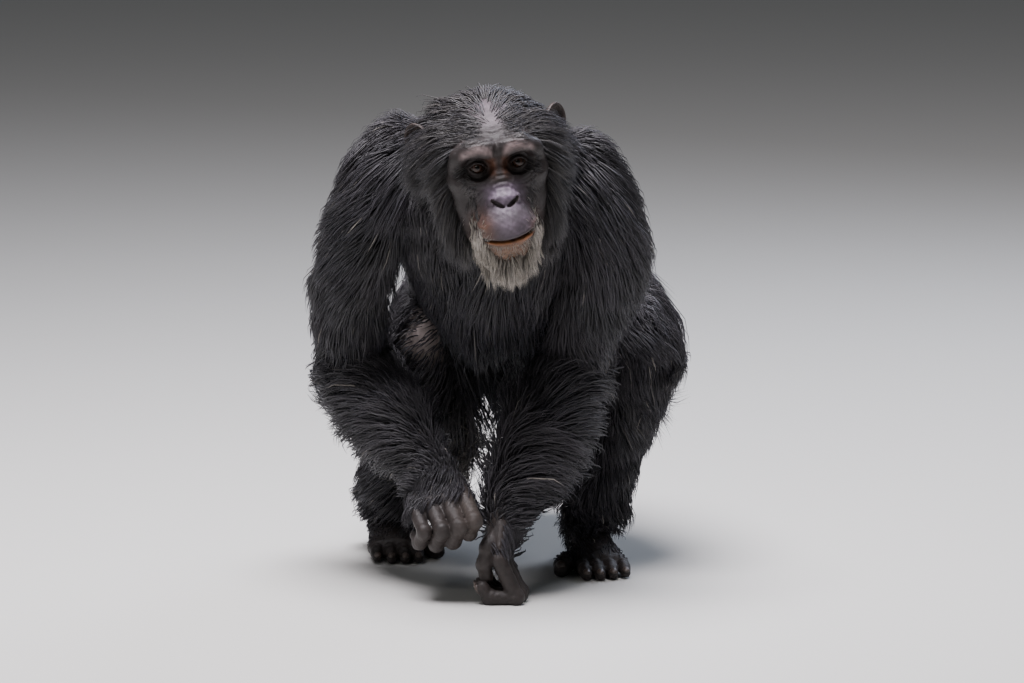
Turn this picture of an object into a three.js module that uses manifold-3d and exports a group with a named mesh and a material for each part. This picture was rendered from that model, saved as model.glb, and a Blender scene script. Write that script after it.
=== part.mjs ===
// A life-size still model of an adult male chimpanzee that walks on its knuckles towards the viewer.
// Millimetres, +Z up. The animal faces -Y and its left side is towards +X.
// The left hand and both feet carry it, and the right hand swings forward just above the floor.
import * as THREE from 'three';
import { mergeVertices } from 'three/addons/utils/BufferGeometryUtils.js';
import Module from 'manifold-3d';

const wasm = await Module();
wasm.setup();

// Clear space between neighbouring pieces.
const GAP = 0.3;

// Head: the point midway between the eyes, and how far the head turns, leans and nods, in degrees.
const EYES_AT = [1, -100, 602];
const HEAD_TURN = 6;
const HEAD_LEAN = 8;
const HEAD_NOD = 8;
const EYE_RADIUS = 11.5;
const EYE_SPREAD = 27;
const LID_RADIUS = 14;

// Limbs as stations along the bone: centre, half width, half depth of the body core.
// Bone lengths are those of an adult male: humerus 285, radius 245, thigh 265, shin 245.
const TRUNK = [
  [[-10, 58, 548], 98, 88],
  [[-12, 130, 514], 126, 138],
  [[-10, 230, 478], 130, 158],
  [[5, 340, 436], 126, 150],
  [[24, 450, 400], 119, 134],
  [[32, 550, 378], 114, 112],
  [[32, 620, 352], 86, 82],
];
const NECK = [
  [[0, 22, 588], 58, 60],
  [[-4, 56, 574], 76, 78],
  [[-10, 96, 552], 82, 84],
];
const UPPER_ARM = {
  left: [
    [[102, 108, 574], 56, 56],
    [[130, 98, 522], 60, 58],
    [[145, 104, 464], 60, 58],
    [[137, 130, 405], 56, 54],
    [[117, 160, 345], 48, 44],
    [[104, 185, 288], 42, 38],
  ],
  right: [
    [[-122, 126, 590], 60, 58],
    [[-152, 114, 545], 61, 58],
    [[-180, 130, 485], 58, 55],
    [[-198, 170, 415], 54, 52],
    [[-202, 218, 345], 48, 47],
    [[-198, 262, 282], 40, 36],
  ],
};
const FOREARM = {
  left: [
    [[104, 185, 288], 42, 42],
    [[86, 155, 258], 52, 50],
    [[50, 98, 194], 50, 46],
    [[16, 44, 138], 37, 33],
    [[10, 32, 122], 28, 24],
  ],
  right: [
    [[-198, 262, 280], 40, 42],
    [[-180, 226, 262], 50, 50],
    [[-142, 156, 222], 49, 48],
    [[-102, 86, 180], 38, 34],
    [[-92, 70, 170], 31, 26],
  ],
};
const THIGH = {
  left: [
    [[92, 520, 352], 62, 78],
    [[150, 430, 342], 66, 78],
    [[188, 340, 322], 56, 68],
    [[200, 284, 306], 48, 60],
  ],
  right: [
    [[-30, 560, 352], 62, 78],
    [[-66, 470, 342], 64, 76],
    [[-86, 385, 322], 58, 66],
    [[-90, 338, 304], 54, 58],
  ],
};
const SHIN = {
  left: [
    [[199, 282, 300], 46, 46],
    [[180, 296, 222], 48, 48],
    [[150, 300, 142], 44, 42],
    [[128, 292, 78], 35, 35],
  ],
  right: [
    [[-93, 336, 298], 46, 46],
    [[-108, 366, 222], 48, 48],
    [[-134, 398, 142], 43, 42],
    [[-150, 410, 78], 34, 35],
  ],
};

// Hands: the wrist, the row of knuckles at its index end and at its little end, and half sizes.
const PALM_THICK = 15;
const KNUCKLES = {
  left: { wrist: [10, 32, 124], index: [3, -24, 60], little: [9, 44, 58] },
  right: { wrist: [-92, 70, 172], index: [-42, 4, 139], little: [-108, 8, 120] },
};
const FINGERS = ['index_finger', 'middle_finger', 'ring_finger', 'little_finger'];
const FINGER_RADIUS = [10.6, 11, 10.6, 9.4];

// Feet: heel, ball and how the toes fan out.
const FOOT = {
  left: { heel: [118, 348], ball: [142, 206], inner: -1 },
  right: { heel: [-158, 476], ball: [-142, 334], inner: 1 },
};
const TOES = ['second_toe', 'third_toe', 'fourth_toe', 'little_toe'];
const TOE_LENGTH = [46, 48, 44, 36];
const TOE_RADIUS = [8.8, 8.8, 8.6, 8.2];

const SKIN = 0x4a3d3b;
const COAT = 0x17161a;
const EYE = 0x3a1f12;

const v3 = (p) => new THREE.Vector3(p[0], p[1], p[2]);
const mix = (a, b, t) => a + (b - a) * t;
const radians = THREE.MathUtils.degToRad;
const between = (a, b, t) => a.map((value, i) => mix(value, b[i], t));

// A closed three.js geometry as a solid that can be joined and cut, with its faces pointing out.
function solid(geometry, matrix) {
  const bare = new THREE.BufferGeometry().setAttribute('position', geometry.getAttribute('position').clone());
  if (geometry.index) bare.setIndex(geometry.index);
  if (matrix) bare.applyMatrix4(matrix);
  const merged = mergeVertices(bare, 1e-4);
  const triVerts = new Uint32Array(merged.index.array);
  const vertProperties = new Float32Array(merged.attributes.position.array);
  const made = new wasm.Manifold(new wasm.Mesh({ numProp: 3, vertProperties, triVerts }));
  if (made.volume() >= 0) return made;
  triVerts.reverse();
  return new wasm.Manifold(new wasm.Mesh({ numProp: 3, vertProperties, triVerts }));
}

const join = (solids) => (solids.length > 1 ? wasm.Manifold.union(solids) : solids[0]);

// Whether the boxes round two solids meet.
function near(a, b) {
  const [p, q] = [a.boundingBox(), b.boundingBox()];
  return [0, 1, 2].every((i) => p.min[i] < q.max[i] && q.min[i] < p.max[i]);
}

const cut = (body, tools) => tools.reduce((left, tool) => (near(left, tool) ? left.subtract(tool) : left), body);

// Rings of points, all of one count, skinned into a closed body. The last ring may be one point, a tip.
// Each four-sided cell is split along its shorter diagonal, as measured on the rings of guide.
function skinRings(rings, guide = rings) {
  const count = rings[0].length;
  const faces = [];
  for (let i = 1; i < count - 1; i++) faces.push(0, i + 1, i);
  rings.slice(1).forEach((ring, r) => {
    const [low, high] = [guide[r], guide[r + 1]];
    const start = r * count;
    const next = start + count;
    for (let i = 0; i < count; i++) {
      const j = (i + 1) % count;
      if (ring.length === 1) faces.push(start + i, start + j, next);
      else if (low[i].distanceTo(high[j]) < low[j].distanceTo(high[i]) + 0.01) {
        faces.push(start + i, start + j, next + j, start + i, next + j, next + i);
      } else {
        faces.push(start + i, start + j, next + i, start + j, next + j, next + i);
      }
    }
  });
  if (rings.at(-1).length > 1) {
    const last = (rings.length - 1) * count;
    for (let i = 1; i < count - 1; i++) faces.push(last, last + i, last + i + 1);
  }
  const geometry = new THREE.BufferGeometry();
  const numbers = rings.flat().flatMap((p) => [p.x, p.y, p.z]);
  geometry.setAttribute('position', new THREE.Float32BufferAttribute(numbers, 3));
  geometry.setIndex(faces);
  return geometry;
}

// A tapering, bent body with oval sections, along stations of [point, half width, half depth].
// side points along the width. Its surface can be sampled, so that locks grow on it.
class Limb {
  constructor(stations, side, { sides = 12, rings = 6, domes = [0.8, 0.8] } = {}) {
    this.curve = new THREE.CatmullRomCurve3(stations.map((s) => v3(s[0])), false, 'centripetal');
    this.length = this.curve.getLength();
    this.side = v3(side).normalize();
    this.sides = sides;
    this.rings = rings;
    this.domes = domes;
    const reach = [0];
    stations.slice(1).forEach((s, i) => reach.push(reach[i] + v3(s[0]).distanceTo(v3(stations[i][0]))));
    this.keys = stations.map((s, i) => [reach[i] / reach.at(-1), s[1], s[2]]);
  }

  // Half width and half depth at t, eased between the stations.
  half(t) {
    const x = THREE.MathUtils.clamp(t, 0, 1);
    const i = Math.min(this.keys.filter((k) => k[0] <= x).length, this.keys.length - 1) - 1;
    const [a, b] = [this.keys[i], this.keys[i + 1]];
    const line = (x - a[0]) / (b[0] - a[0]);
    const s = 0.5 * (line + THREE.MathUtils.smoothstep(line, 0, 1));
    return [mix(a[1], b[1], s), mix(a[2], b[2], s)];
  }

  // The point at t, at angle a round the section, h above the surface. Past an end it goes straight on.
  at(t, a, h = 0, scale = 1) {
    const x = THREE.MathUtils.clamp(t, 0, 1);
    const tangent = this.curve.getTangentAt(x);
    const across = this.side.clone().addScaledVector(tangent, -this.side.dot(tangent)).normalize();
    const deep = new THREE.Vector3().crossVectors(tangent, across);
    const [w, d] = this.half(t);
    return this.curve.getPointAt(x)
      .addScaledVector(tangent, (t - x) * this.length)
      .addScaledVector(across, (w * scale + h) * Math.cos(a))
      .addScaledVector(deep, (d * scale + h) * Math.sin(a));
  }

  // How far the section has drawn in at t past an end, for locks that follow the dome.
  taper(t) {
    const over = Math.max(t - 1, -t, 0) * this.length;
    const reach = Math.min(...this.half(t)) * this.domes[t > 1 ? 1 : 0] * 1.7;
    return Math.sqrt(Math.max(1 - (over / reach) ** 2, 0.3));
  }

  // Rings between two shares of its length, with a dome on each end that is the limb's own.
  sections(grow, from, to) {
    const rings = [];
    const ring = (t, scale) => {
      const turn = (2 * Math.PI) / this.sides;
      rings.push(Array.from({ length: this.sides }, (_, i) => this.at(t, i * turn, grow, scale)));
    };
    const dome = [[0.55, 0.85], [1, 0.4]];
    const cap = (t, end) => (Math.min(...this.half(t)) * this.domes[end] + grow) / this.length;
    if (from === 0) [...dome].reverse().forEach(([out, scale]) => ring(-cap(0, 0) * out, scale));
    const first = from > 0 ? from - grow / this.length : 0;
    const last = to < 1 ? to + grow / this.length : 1;
    const count = Math.max(1, Math.round(this.rings * (to - from)));
    for (let i = 0; i <= count; i++) ring(mix(first, last, i / count), 1);
    if (to === 1) dome.forEach(([out, scale]) => ring(1 + cap(1, 1) * out, scale));
    return rings;
  }

  body(grow = 0, from = 0, to = 1) {
    return solid(skinRings(this.sections(grow, from, to), this.sections(0, from, to)));
  }
}

// One flat, tapered lock. place(s, x, h) gives the point at share s of its length, x half widths across
// and h above the surface. It starts sunk in the body and rises to its free tip.
function lock(place, rise, { sink = 7, thick = 5, grow = 0 } = {}) {
  const stations = [[0, 0.8, 1], [0.55, 1, 0.9]];
  const blade = (extra) => {
    const rings = stations.map(([s, wide, fat]) => {
      const h = mix(-sink, rise, s ** 0.8);
      const f = (thick * fat) / 2 + extra;
      const w = wide + extra * 0.04;
      return [place(s, -w, h - f), place(s, w, h - f), place(s, 0, h + f)];
    });
    return [...rings, [place(1 + extra * 0.01, 0, rise)]];
  };
  return solid(skinRings(blade(grow), blade(0)));
}

// Rows of locks round a limb, between two shares of its length. along is 1 down the limb and -1 up it,
// and drift turns the lie round it.
function coat(limb, { rows, around, length, width, rise, from = 0, to = 1, along = 1, drift = 0, seed = 1, keep }) {
  return (grow) => {
    const locks = [];
    for (let r = 0; r < rows; r++) {
      const t0 = rows > 1 ? mix(from, to, r / (rows - 1)) : from;
      for (let i = 0; i < around; i++) {
        const wobble = Math.sin(seed * 12.9 + r * 78.2 + i * 37.7);
        const a0 = (2 * Math.PI * (i + (r % 2) / 2 + 0.12 * wobble)) / around;
        if (keep && !keep(t0, a0)) continue;
        const share = (along * length * (1 + 0.14 * wobble)) / limb.length;
        const spread = width / 2 / Math.max(...limb.half(t0));
        const place = (s, x, h) => {
          const t = t0 + share * s;
          return limb.at(t, a0 + drift * s - along * x * spread, h, limb.taper(t));
        };
        locks.push(lock(place, rise * (1 + 0.2 * wobble), { grow }));
      }
    }
    return join(locks);
  };
}

// ---- head ----
const HEAD = new THREE.Matrix4().makeRotationFromEuler(
  new THREE.Euler(radians(HEAD_NOD), -radians(HEAD_LEAN), radians(HEAD_TURN), 'ZYX'),
).setPosition(v3(EYES_AT));
const HEAD_CENTRE = v3([0, 30, 4]);
const toWorld = (p) => p.clone().applyMatrix4(HEAD);

// Distance fields for the soft masses of the head, in its own frame: x to its left, -y forward, z up,
// from the point midway between the eyes. Both halves are alike, so x is taken without its sign.
const mass = (centre, radius) => (p) => {
  const q = p.clone().sub(v3(centre));
  const k = q.clone().divide(v3(radius)).length();
  const g = q.divide(v3(radius)).divide(v3(radius)).length();
  return (k * (k - 1)) / Math.max(g, 1e-6);
};
const rod = (from, to, thin, thick = thin) => (p) => {
  const [a, line] = [v3(from), v3(to).sub(v3(from))];
  const q = p.clone().sub(a);
  const t = THREE.MathUtils.clamp(q.dot(line) / line.lengthSq(), 0, 1);
  return q.addScaledVector(line, -t).length() - mix(thin, thick, t);
};
const soften = (a, b, k) => {
  const h = Math.max(k - Math.abs(a - b), 0) / k;
  return Math.min(a, b) - (h * h * k) / 4;
};
const HEAD_MASSES = [
  mass([0, 78, 22], [66, 82, 54]), // cranium
  mass([0, 20, 22], [52, 40, 30]), // forehead
  mass([44, 55, 8], [28, 52, 40]), // temple
  rod([0, -17, 26], [30, -17, 30], 8.5, 9), // brow ridge
  rod([30, -17, 30], [53, 2, 20], 9, 8),
  mass([50, 12, -18], [17, 22, 13]), // cheekbone
  rod([36, -8, -20], [64, 35, -12], 10),
  mass([0, 2, -35], [43, 36, 44]), // mid face
  mass([0, -20, -72], [37, 45, 40]), // muzzle
  mass([0, -40, -74], [33, 27, 21]), // swell of the upper lip
  rod([0, -10, -2], [0, -30, -30], 9, 12), // bridge of the nose
  mass([11, -38, -38], [12, 9, 8]), // wing of the nose
  mass([0, -44, -38], [9, 7, 7]), // tip of the nose
  mass([0, -12, -106], [32, 37, 26]), // chin
  rod([26, -8, -103], [50, 45, -70], 17, 20), // jaw
  mass([0, 38, -85], [44, 48, 42]), // throat
  mass([48, 30, -45], [20, 34, 42]), // chewing muscle
  mass([0, 118, 0], [60, 55, 58]), // nape
];
const ORBIT = mass([27, -15, 2], [19, 15, 14]);
function headField(point) {
  const p = v3([Math.abs(point.x), point.y, point.z]);
  const whole = HEAD_MASSES.reduce((d, part) => soften(d, part(p), 14), 1e3);
  return -soften(-whole, ORBIT(p), 7);
}

// The surface of the head in a direction from its centre, h above the skin, in the head's own frame.
function headSkin(towards, h = 0) {
  const way = towards.clone().normalize();
  let r = 230;
  for (let i = 0; i < 60; i++) {
    const d = headField(HEAD_CENTRE.clone().addScaledVector(way, r));
    if (d < 0.02) break;
    r -= Math.min(d * 0.75, 12);
  }
  return HEAD_CENTRE.clone().addScaledVector(way, r + h);
}
const headPoint = (p, h = 0) => headSkin(v3(p).sub(HEAD_CENTRE), h);

const SKULL_RINGS = 23;
const SKULL_SIDES = 30;
function skullRings(grow) {
  const rings = [];
  for (let i = 0; i < SKULL_RINGS; i++) {
    const polar = Math.PI * ((i + 0.4) / (SKULL_RINGS + 0.4)) ** 1.1;
    rings.push(Array.from({ length: SKULL_SIDES }, (_, j) => {
      const turn = (2 * Math.PI * j) / SKULL_SIDES;
      const way = [Math.sin(polar) * Math.cos(turn), -Math.cos(polar), Math.sin(polar) * Math.sin(turn)];
      return toWorld(headSkin(v3(way), grow));
    }));
  }
  return [...rings, [toWorld(headSkin(v3([0, 1, 0]), grow))]];
}
const SKULL = skullRings(0);
const skull = (grow) => solid(skinRings(grow ? skullRings(grow) : SKULL, SKULL));

// The mouth runs round the muzzle, its corners turned up and its left side a little higher.
const mouthAt = (u, up = 0, h = 0) => headPoint([33 * u, -68 + 16 * u * u, -87 + 4 * u * u + 3.5 * u + up], h);
function mouthRoll(up, deep, wide, tall) {
  const stations = [];
  for (let i = -4; i <= 4; i++) {
    const ease = 1 - 0.55 * (i / 4) ** 2;
    stations.push([toWorld(mouthAt(i / 4, up * ease, -deep)).toArray(), tall * ease, wide * ease]);
  }
  return new Limb(stations, [0, 0, 1], { sides: 6, rings: 8 }).body();
}

function ellipsoid(centre, radius, detail = 12, matrix = HEAD) {
  const round = new THREE.SphereGeometry(1, detail, Math.round(detail / 2));
  return solid(round.scale(...radius).translate(...centre), matrix);
}

// The almond between the lids, as a cutter that points out of the eye.
function almond(sign) {
  const shape = new THREE.Shape();
  shape.moveTo(-13, -1);
  shape.quadraticCurveTo(-3, 9, 13, 1);
  shape.quadraticCurveTo(0, -9, -13, -1);
  const bar = new THREE.ExtrudeGeometry(shape, { depth: 20, bevelEnabled: false, curveSegments: 4 });
  bar.scale(sign, 1, 1).rotateX(Math.PI / 2).translate(sign * EYE_SPREAD, -4, 0);
  return solid(bar, HEAD);
}

function headCore(grow) {
  if (grow > 0) return skull(grow);
  const lids = [-1, 1].map((sign) => ellipsoid([sign * EYE_SPREAD, 0.5, 0], Array(3).fill(LID_RADIUS), 10));
  const lips = [mouthRoll(5, 1.5, 4.5, 4), mouthRoll(-5, 2, 4.5, 4)];
  const nostrils = [-1, 1].map((sign) => ellipsoid([sign * 9, -48, -42], [4.5, 7, 3], 8));
  return cut(join([skull(0), ...lids, ...lips]), [
    ...[-1, 1].map(almond),
    mouthRoll(0, 0, 2.6, 1.6),
    ...nostrils,
  ]);
}

// A lock that lies on the head from one point to another, both named in its own frame.
function headLock(from, to, width, rise, grow, options) {
  const [a, b] = [v3(from), v3(to)];
  const middle = headSkin(a.clone().lerp(b, 0.5).sub(HEAD_CENTRE));
  const flow = b.clone().sub(a);
  const side = middle.clone().sub(HEAD_CENTRE).cross(flow).normalize();
  const place = (s, x, h) => {
    const p = a.clone().addScaledVector(flow, s).addScaledVector(side, (x * width) / 2);
    return toWorld(headSkin(p.sub(HEAD_CENTRE), h));
  };
  return lock(place, rise, { grow, ...options });
}

function headLocks(grow) {
  const locks = [];
  // Crown, combed back from the bald forehead.
  for (let row = 0; row < 2; row++) {
    for (let i = -1.5 + row / 2; i <= 1.5; i++) {
      const x = i * 34;
      const y = 44 + row * 46 + Math.abs(i) * 8;
      const top = 78 - Math.abs(x) * 0.35;
      locks.push(headLock([x, y, top], [x * 1.2, y + 74, top - 4 - row * 10], 31, 15 + row * 3, grow));
    }
  }
  for (const sign of [-1, 1]) {
    // Cheek whiskers, hanging from the temple to below the jaw.
    for (let row = 0; row < 2; row++) {
      for (let i = 0; i < 2; i++) {
        const from = [sign * 66, 40 + i * 36 + row * 6, 14 - row * 58];
        const to = [sign * 66, 54 + i * 36 + row * 6, -62 - row * 54];
        locks.push(headLock(from, to, 33, 14 + row * 5, grow));
      }
    }
  }
  // Beard, fanned round the chin from one corner of the mouth to the other.
  for (let row = 0; row < 2; row++) {
    for (let i = -3 + row; i <= 3 - row * 2; i++) {
      const turn = radians(i * 32 + row * 16);
      const from = [42 * Math.sin(turn), -8 - 34 * Math.cos(turn), -104 + 22 * Math.abs(Math.sin(turn)) - row * 10];
      const to = [46 * Math.sin(turn), 4 - 32 * Math.cos(turn), -134 + 16 * Math.abs(Math.sin(turn)) - row * 8];
      locks.push(headLock(from, to, 20, 26 + 5 * row, grow, { thick: 4, sink: 6 }));
    }
  }
  return join(locks);
}

// The cup of an ear: a bowl with a rolled rim, its hollow turned forward and out.
function ear(sign, grow) {
  const out = v3([sign * 0.62, 0.78, 0.08]).normalize();
  const up = v3([0, 0.12, 1]).normalize();
  const front = new THREE.Vector3().crossVectors(out, up).multiplyScalar(sign).normalize();
  const rings = [];
  const profile = [[0.15, -9], [0.5, -7], [0.74, -1], [0.88, 5], [0.97, 5], [1, 1], [0.9, -4], [0.6, -12], [0.2, -15]];
  profile.forEach(([r, depth], k) => {
    const lift = k < 5 ? grow : -grow;
    const spread = Math.sign(k - 3) * grow;
    rings.push(Array.from({ length: 14 }, (_, i) => {
      const a = (2 * Math.PI * i) / 14;
      const wide = 25 * (1 + 0.14 * Math.sin(a)) * r + spread;
      const tall = 34 * r + spread;
      return toWorld(v3([sign * 90, 95, 12])
        .addScaledVector(out, wide * Math.cos(a))
        .addScaledVector(up, tall * Math.sin(a))
        .addScaledVector(front, depth + lift));
    }));
  });
  return solid(skinRings(rings));
}

// ---- hands and feet ----
// A digit: bones from point to point with mitred joints, a rounded tip and a nail raised on its back.
function digit(points, radius, back, grow, { sides = 6 } = {}) {
  const p = points.map(v3);
  const ways = p.slice(1).map((q, i) => q.clone().sub(p[i]).normalize());
  const rings = [];
  const ring = (centre, way, scale, stretch = 1) => {
    const across = v3(back).cross(ways[0]).normalize();
    const deep = new THREE.Vector3().crossVectors(way, across).normalize();
    rings.push(Array.from({ length: sides }, (_, i) => {
      const a = (2 * Math.PI * (i + 0.5)) / sides;
      return centre.clone()
        .addScaledVector(across, (radius * scale + grow) * Math.cos(a))
        .addScaledVector(deep, (radius * scale + grow) * stretch * Math.sin(a));
    }));
  };
  ring(p[0], ways[0], 0.95);
  for (let i = 1; i < p.length - 1; i++) {
    const before = ways[i - 1];
    const after = ways[i];
    const way = before.clone().add(after).normalize();
    ring(p[i], way, 1.04, 1 / Math.max(way.dot(before), 0.6));
    ring(p[i].clone().lerp(p[i + 1], 0.55), after, 0.9);
  }
  const tip = p.at(-1);
  const last = ways.at(-1);
  ring(tip, last, 0.82);
  ring(tip.clone().addScaledVector(last, radius * 0.5 + grow), last, 0.55);
  return solid(skinRings([...rings, [tip.clone().addScaledVector(last, radius * 0.75 + grow)]]));
}

// A nail: a low, curved plate on the back of the last bone.
function nail(points, radius, back) {
  const [a, tip] = [v3(points.at(-2)), v3(points.at(-1))];
  const way = tip.clone().sub(a).normalize();
  const first = v3(points[1]).sub(v3(points[0])).normalize();
  const across = v3(back).cross(first).normalize();
  const up = new THREE.Vector3().crossVectors(way, across).normalize();
  const plate = new THREE.SphereGeometry(1, 6, 3).scale(radius * 0.7, radius * 0.85, radius * 0.34);
  const basis = new THREE.Matrix4().makeBasis(across, way, up);
  const at = tip.clone().addScaledVector(way, radius * 0.05).addScaledVector(up, radius * 0.66);
  return solid(plate, basis.setPosition(at));
}

const nodes = [];
const add = (name, colour, core, locks) => nodes.push({ name, colour, core, locks });

for (const [side, sign] of [['left', 1], ['right', -1]]) {
  add(`eye_${side}`, EYE, (grow) => ellipsoid([sign * EYE_SPREAD, 0, 0], Array(3).fill(EYE_RADIUS + grow)));
}
const neck = new Limb(NECK, [1, 0, 0], { sides: 14, rings: 3 });
add('neck', COAT, (grow) => neck.body(grow), coat(neck, {
  rows: 1, around: 8, length: 110, width: 56, rise: 15, from: 0.45, seed: 4,
}));
add('head', COAT, headCore, headLocks);
for (const [side, sign] of [['left', 1], ['right', -1]]) add(`ear_${side}`, SKIN, (grow) => ear(sign, grow));

// The trunk: one long body, parted with thin cuts.
const trunk = new Limb(TRUNK, [1, 0, 0], { sides: 16, rings: 10, domes: [0.5, 0.9] });
const CUTS = { chest: [0, 0.42], belly: [0.42, 0.7], rump: [0.7, 1] };
const TRUNK_COAT = {
  chest: { rows: 2, around: 9, length: 160, width: 78, from: 0.06, to: 0.33, seed: 1 },
  belly: { rows: 1, around: 9, length: 150, width: 76, from: 0.5, seed: 5 },
  rump: { rows: 2, around: 7, length: 165, width: 88, from: 0.74, to: 0.93, seed: 8 },
};
const slit = GAP / 2 / trunk.length;
for (const [name, [from, to]] of Object.entries(CUTS)) {
  const start = from > 0 ? from + slit : 0;
  const end = to < 1 ? to - slit : 1;
  add(name, COAT, (grow) => trunk.body(grow, start, end), coat(trunk, { rise: 17, ...TRUNK_COAT[name] }));
}

for (const side of ['left', 'right']) {
  const upper = new Limb(UPPER_ARM[side], [side === 'left' ? 0.3 : -0.3, 0.9, 0.35], { rings: 7 });
  add(`upper_arm_${side}`, COAT, (grow) => upper.body(grow), coat(upper, {
    rows: 2, around: 4, length: 150, width: 68, rise: 14, from: 0.3, to: 0.76, seed: 5,
  }));
  const fore = new Limb(FOREARM[side], [1, 0, 0]);
  add(`forearm_${side}`, COAT, (grow) => fore.body(grow), coat(fore, {
    rows: 2, around: 4, length: 120, width: 50, rise: 13, from: 0.92, to: 0.5, along: -1, drift: 0.3, seed: 6,
  }));
  const thigh = new Limb(THIGH[side], [1, 0, 0], { sides: 14 });
  add(`thigh_${side}`, COAT, (grow) => thigh.body(grow), coat(thigh, {
    rows: 2, around: 4, length: 140, width: 80, rise: 14, from: 0.42, to: 0.85, drift: 0.3, seed: 7,
  }));
  const shin = new Limb(SHIN[side], [1, 0, 0]);
  add(`shin_${side}`, COAT, (grow) => shin.body(grow), coat(shin, {
    rows: 1, around: 5, length: 130, width: 48, rise: 12, from: 0.3, seed: 8,
  }));
}

// The palm widens from the wrist to the row of knuckles. Each finger starts inside it.
function palm(side) {
  const { wrist, index, little } = KNUCKLES[side];
  const row = between(index, little, 0.5);
  const wide = v3(index).distanceTo(v3(little)) / 2;
  const across = v3(little).sub(v3(index)).toArray();
  return new Limb([
    [wrist, 24, 20],
    [between(wrist, row, 0.45), wide + 4, PALM_THICK + 3],
    [between(wrist, row, 0.9), wide + FINGER_RADIUS[1], PALM_THICK - 1],
  ], across, { rings: 3, domes: [0.6, 0.5] });
}

// How each hand holds its fingers: offsets from knuckle to first joint, to last joint, to tip. The left
// hand stands on the backs of its middle bones. Thumbs are named point by point.
const BACK_OF_HAND = { left: [1, 0, 0], right: [0.1, -0.6, 0.8] };
const HOLD = {
  left: [[24, -2, -49], [-36, 2, -1.5], [-12, 0, 16]],
  right: [[13, -36, -26], [-8, 22, -21], [-6, 16, 10]],
};
const THUMB = {
  left: [[4, 2, 100], [-12, -16, 76], [-17, -18, 54], [-15, -14, 38]],
  right: [[-74, 44, 154], [-46, 36, 130], [-36, 20, 108], [-38, 6, 92]],
};
for (const side of ['left', 'right']) {
  const hand = palm(side);
  add(`hand_${side}`, SKIN, (grow) => hand.body(grow));
  FINGERS.forEach((finger, i) => {
    const knuckle = between(KNUCKLES[side].index, KNUCKLES[side].little, i / 3);
    const points = [knuckle];
    const long = [0.94, 1.04, 1, 0.84][i];
    for (const [x, y, z] of HOLD[side]) {
      const [px, py, pz] = points.at(-1);
      const drop = side === 'left' && points.length === 1 ? 10 - pz : z * long;
      points.push([px + x * long, py + y * long, pz + drop]);
    }
    const radius = FINGER_RADIUS[i];
    add(`${finger}_${side}`, SKIN, (grow) => {
      const body = digit(points, radius, BACK_OF_HAND[side], grow);
      return grow ? body : body.add(nail(points, radius, BACK_OF_HAND[side]));
    });
  });
  add(`thumb_${side}`, SKIN, (grow) => {
    const body = digit(THUMB[side], 10.5, BACK_OF_HAND[side], grow);
    return grow ? body : body.add(nail(THUMB[side], 10.5, BACK_OF_HAND[side]));
  });
}

// Feet stand flat. The big toe stands apart on the inner side, like a thumb.
for (const side of ['left', 'right']) {
  const { heel, ball, inner } = FOOT[side];
  const on = (share, off, z) => {
    const way = new THREE.Vector2(ball[0] - heel[0], ball[1] - heel[1]);
    const aside = new THREE.Vector2(-way.y, way.x).normalize().multiplyScalar(off * inner * Math.sign(-way.y) * -1);
    return [heel[0] + way.x * share - aside.x, heel[1] + way.y * share - aside.y, z];
  };
  const foot = new Limb([
    [on(0, 0, 24), 25, 26],
    [on(0.36, 0, 31), 29, 35],
    [on(0.7, 2, 24), 35, 27],
    [on(1, 0, 14), 38, 17],
  ], [1, 0, 0], { sides: 10, rings: 4, domes: [0.8, 0.4] });
  add(`foot_${side}`, SKIN, (grow) => foot.body(grow));
  TOES.forEach((toe, i) => {
    const off = 28 - 18.8 * i;
    const reach = TOE_LENGTH[i] / 142;
    const points = [on(0.96, off, 14), on(1 + reach * 0.6, off, 13), on(1 + reach, off, 8.5)];
    add(`${toe}_${side}`, SKIN, (grow) => {
      const body = digit(points, TOE_RADIUS[i], [0, 0, 1], grow, { sides: 5 });
      return grow ? body : body.add(nail(points, TOE_RADIUS[i], [0, 0, 1]));
    });
  });
  const great = [on(0.62, 20, 16), on(0.86, 45, 15), on(1.08, 57, 11)];
  add(`big_toe_${side}`, SKIN, (grow) => {
    const body = digit(great, 13, [0, 0, 1], grow);
    return grow ? body : body.add(nail(great, 13, [0, 0, 1]));
  });
}

// Fit the pieces to one another: each core is cut by those before it, and locks by every other core.
const ground = solid(new THREE.BoxGeometry(2000, 2000, 200).translate(0, 0, -100));
const cores = nodes.map((node) => node.core(0));
const grownCores = nodes.map((node, i) => node.core(GAP).add(cores[i]));
const grownLocks = nodes.map((node) => node.locks?.(2 * GAP).add(node.locks(0)));
const bodies = nodes.map((node, i) => {
  let body = cut(cores[i], grownCores.slice(0, i));
  if (node.locks) {
    const others = grownCores.filter((_, j) => j !== i);
    body = body.add(cut(node.locks(0), [...others, ...grownLocks.slice(0, i).filter(Boolean)]));
  }
  const pieces = body.subtract(ground).decompose();
  return pieces.sort((a, b) => b.volume() - a.volume())[0];
});

// The origin is under the middle of the animal, on the floor.
const group = new THREE.Group();
const box = new THREE.Box3();
nodes.forEach((node, i) => {
  const mesh = bodies[i].getMesh();
  const geometry = new THREE.BufferGeometry();
  geometry.setAttribute('position', new THREE.BufferAttribute(mesh.vertProperties, mesh.numProp));
  geometry.setIndex(new THREE.BufferAttribute(mesh.triVerts, 1));
  const material = new THREE.MeshStandardMaterial({ color: node.colour, roughness: 0.6, flatShading: true });
  const part = new THREE.Mesh(geometry, material);
  part.name = node.name;
  geometry.computeBoundingBox();
  box.union(geometry.boundingBox);
  group.add(part);
});
group.position.set(-(box.min.x + box.max.x) / 2, -(box.min.y + box.max.y) / 2, -box.min.z);

export default group;
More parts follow.
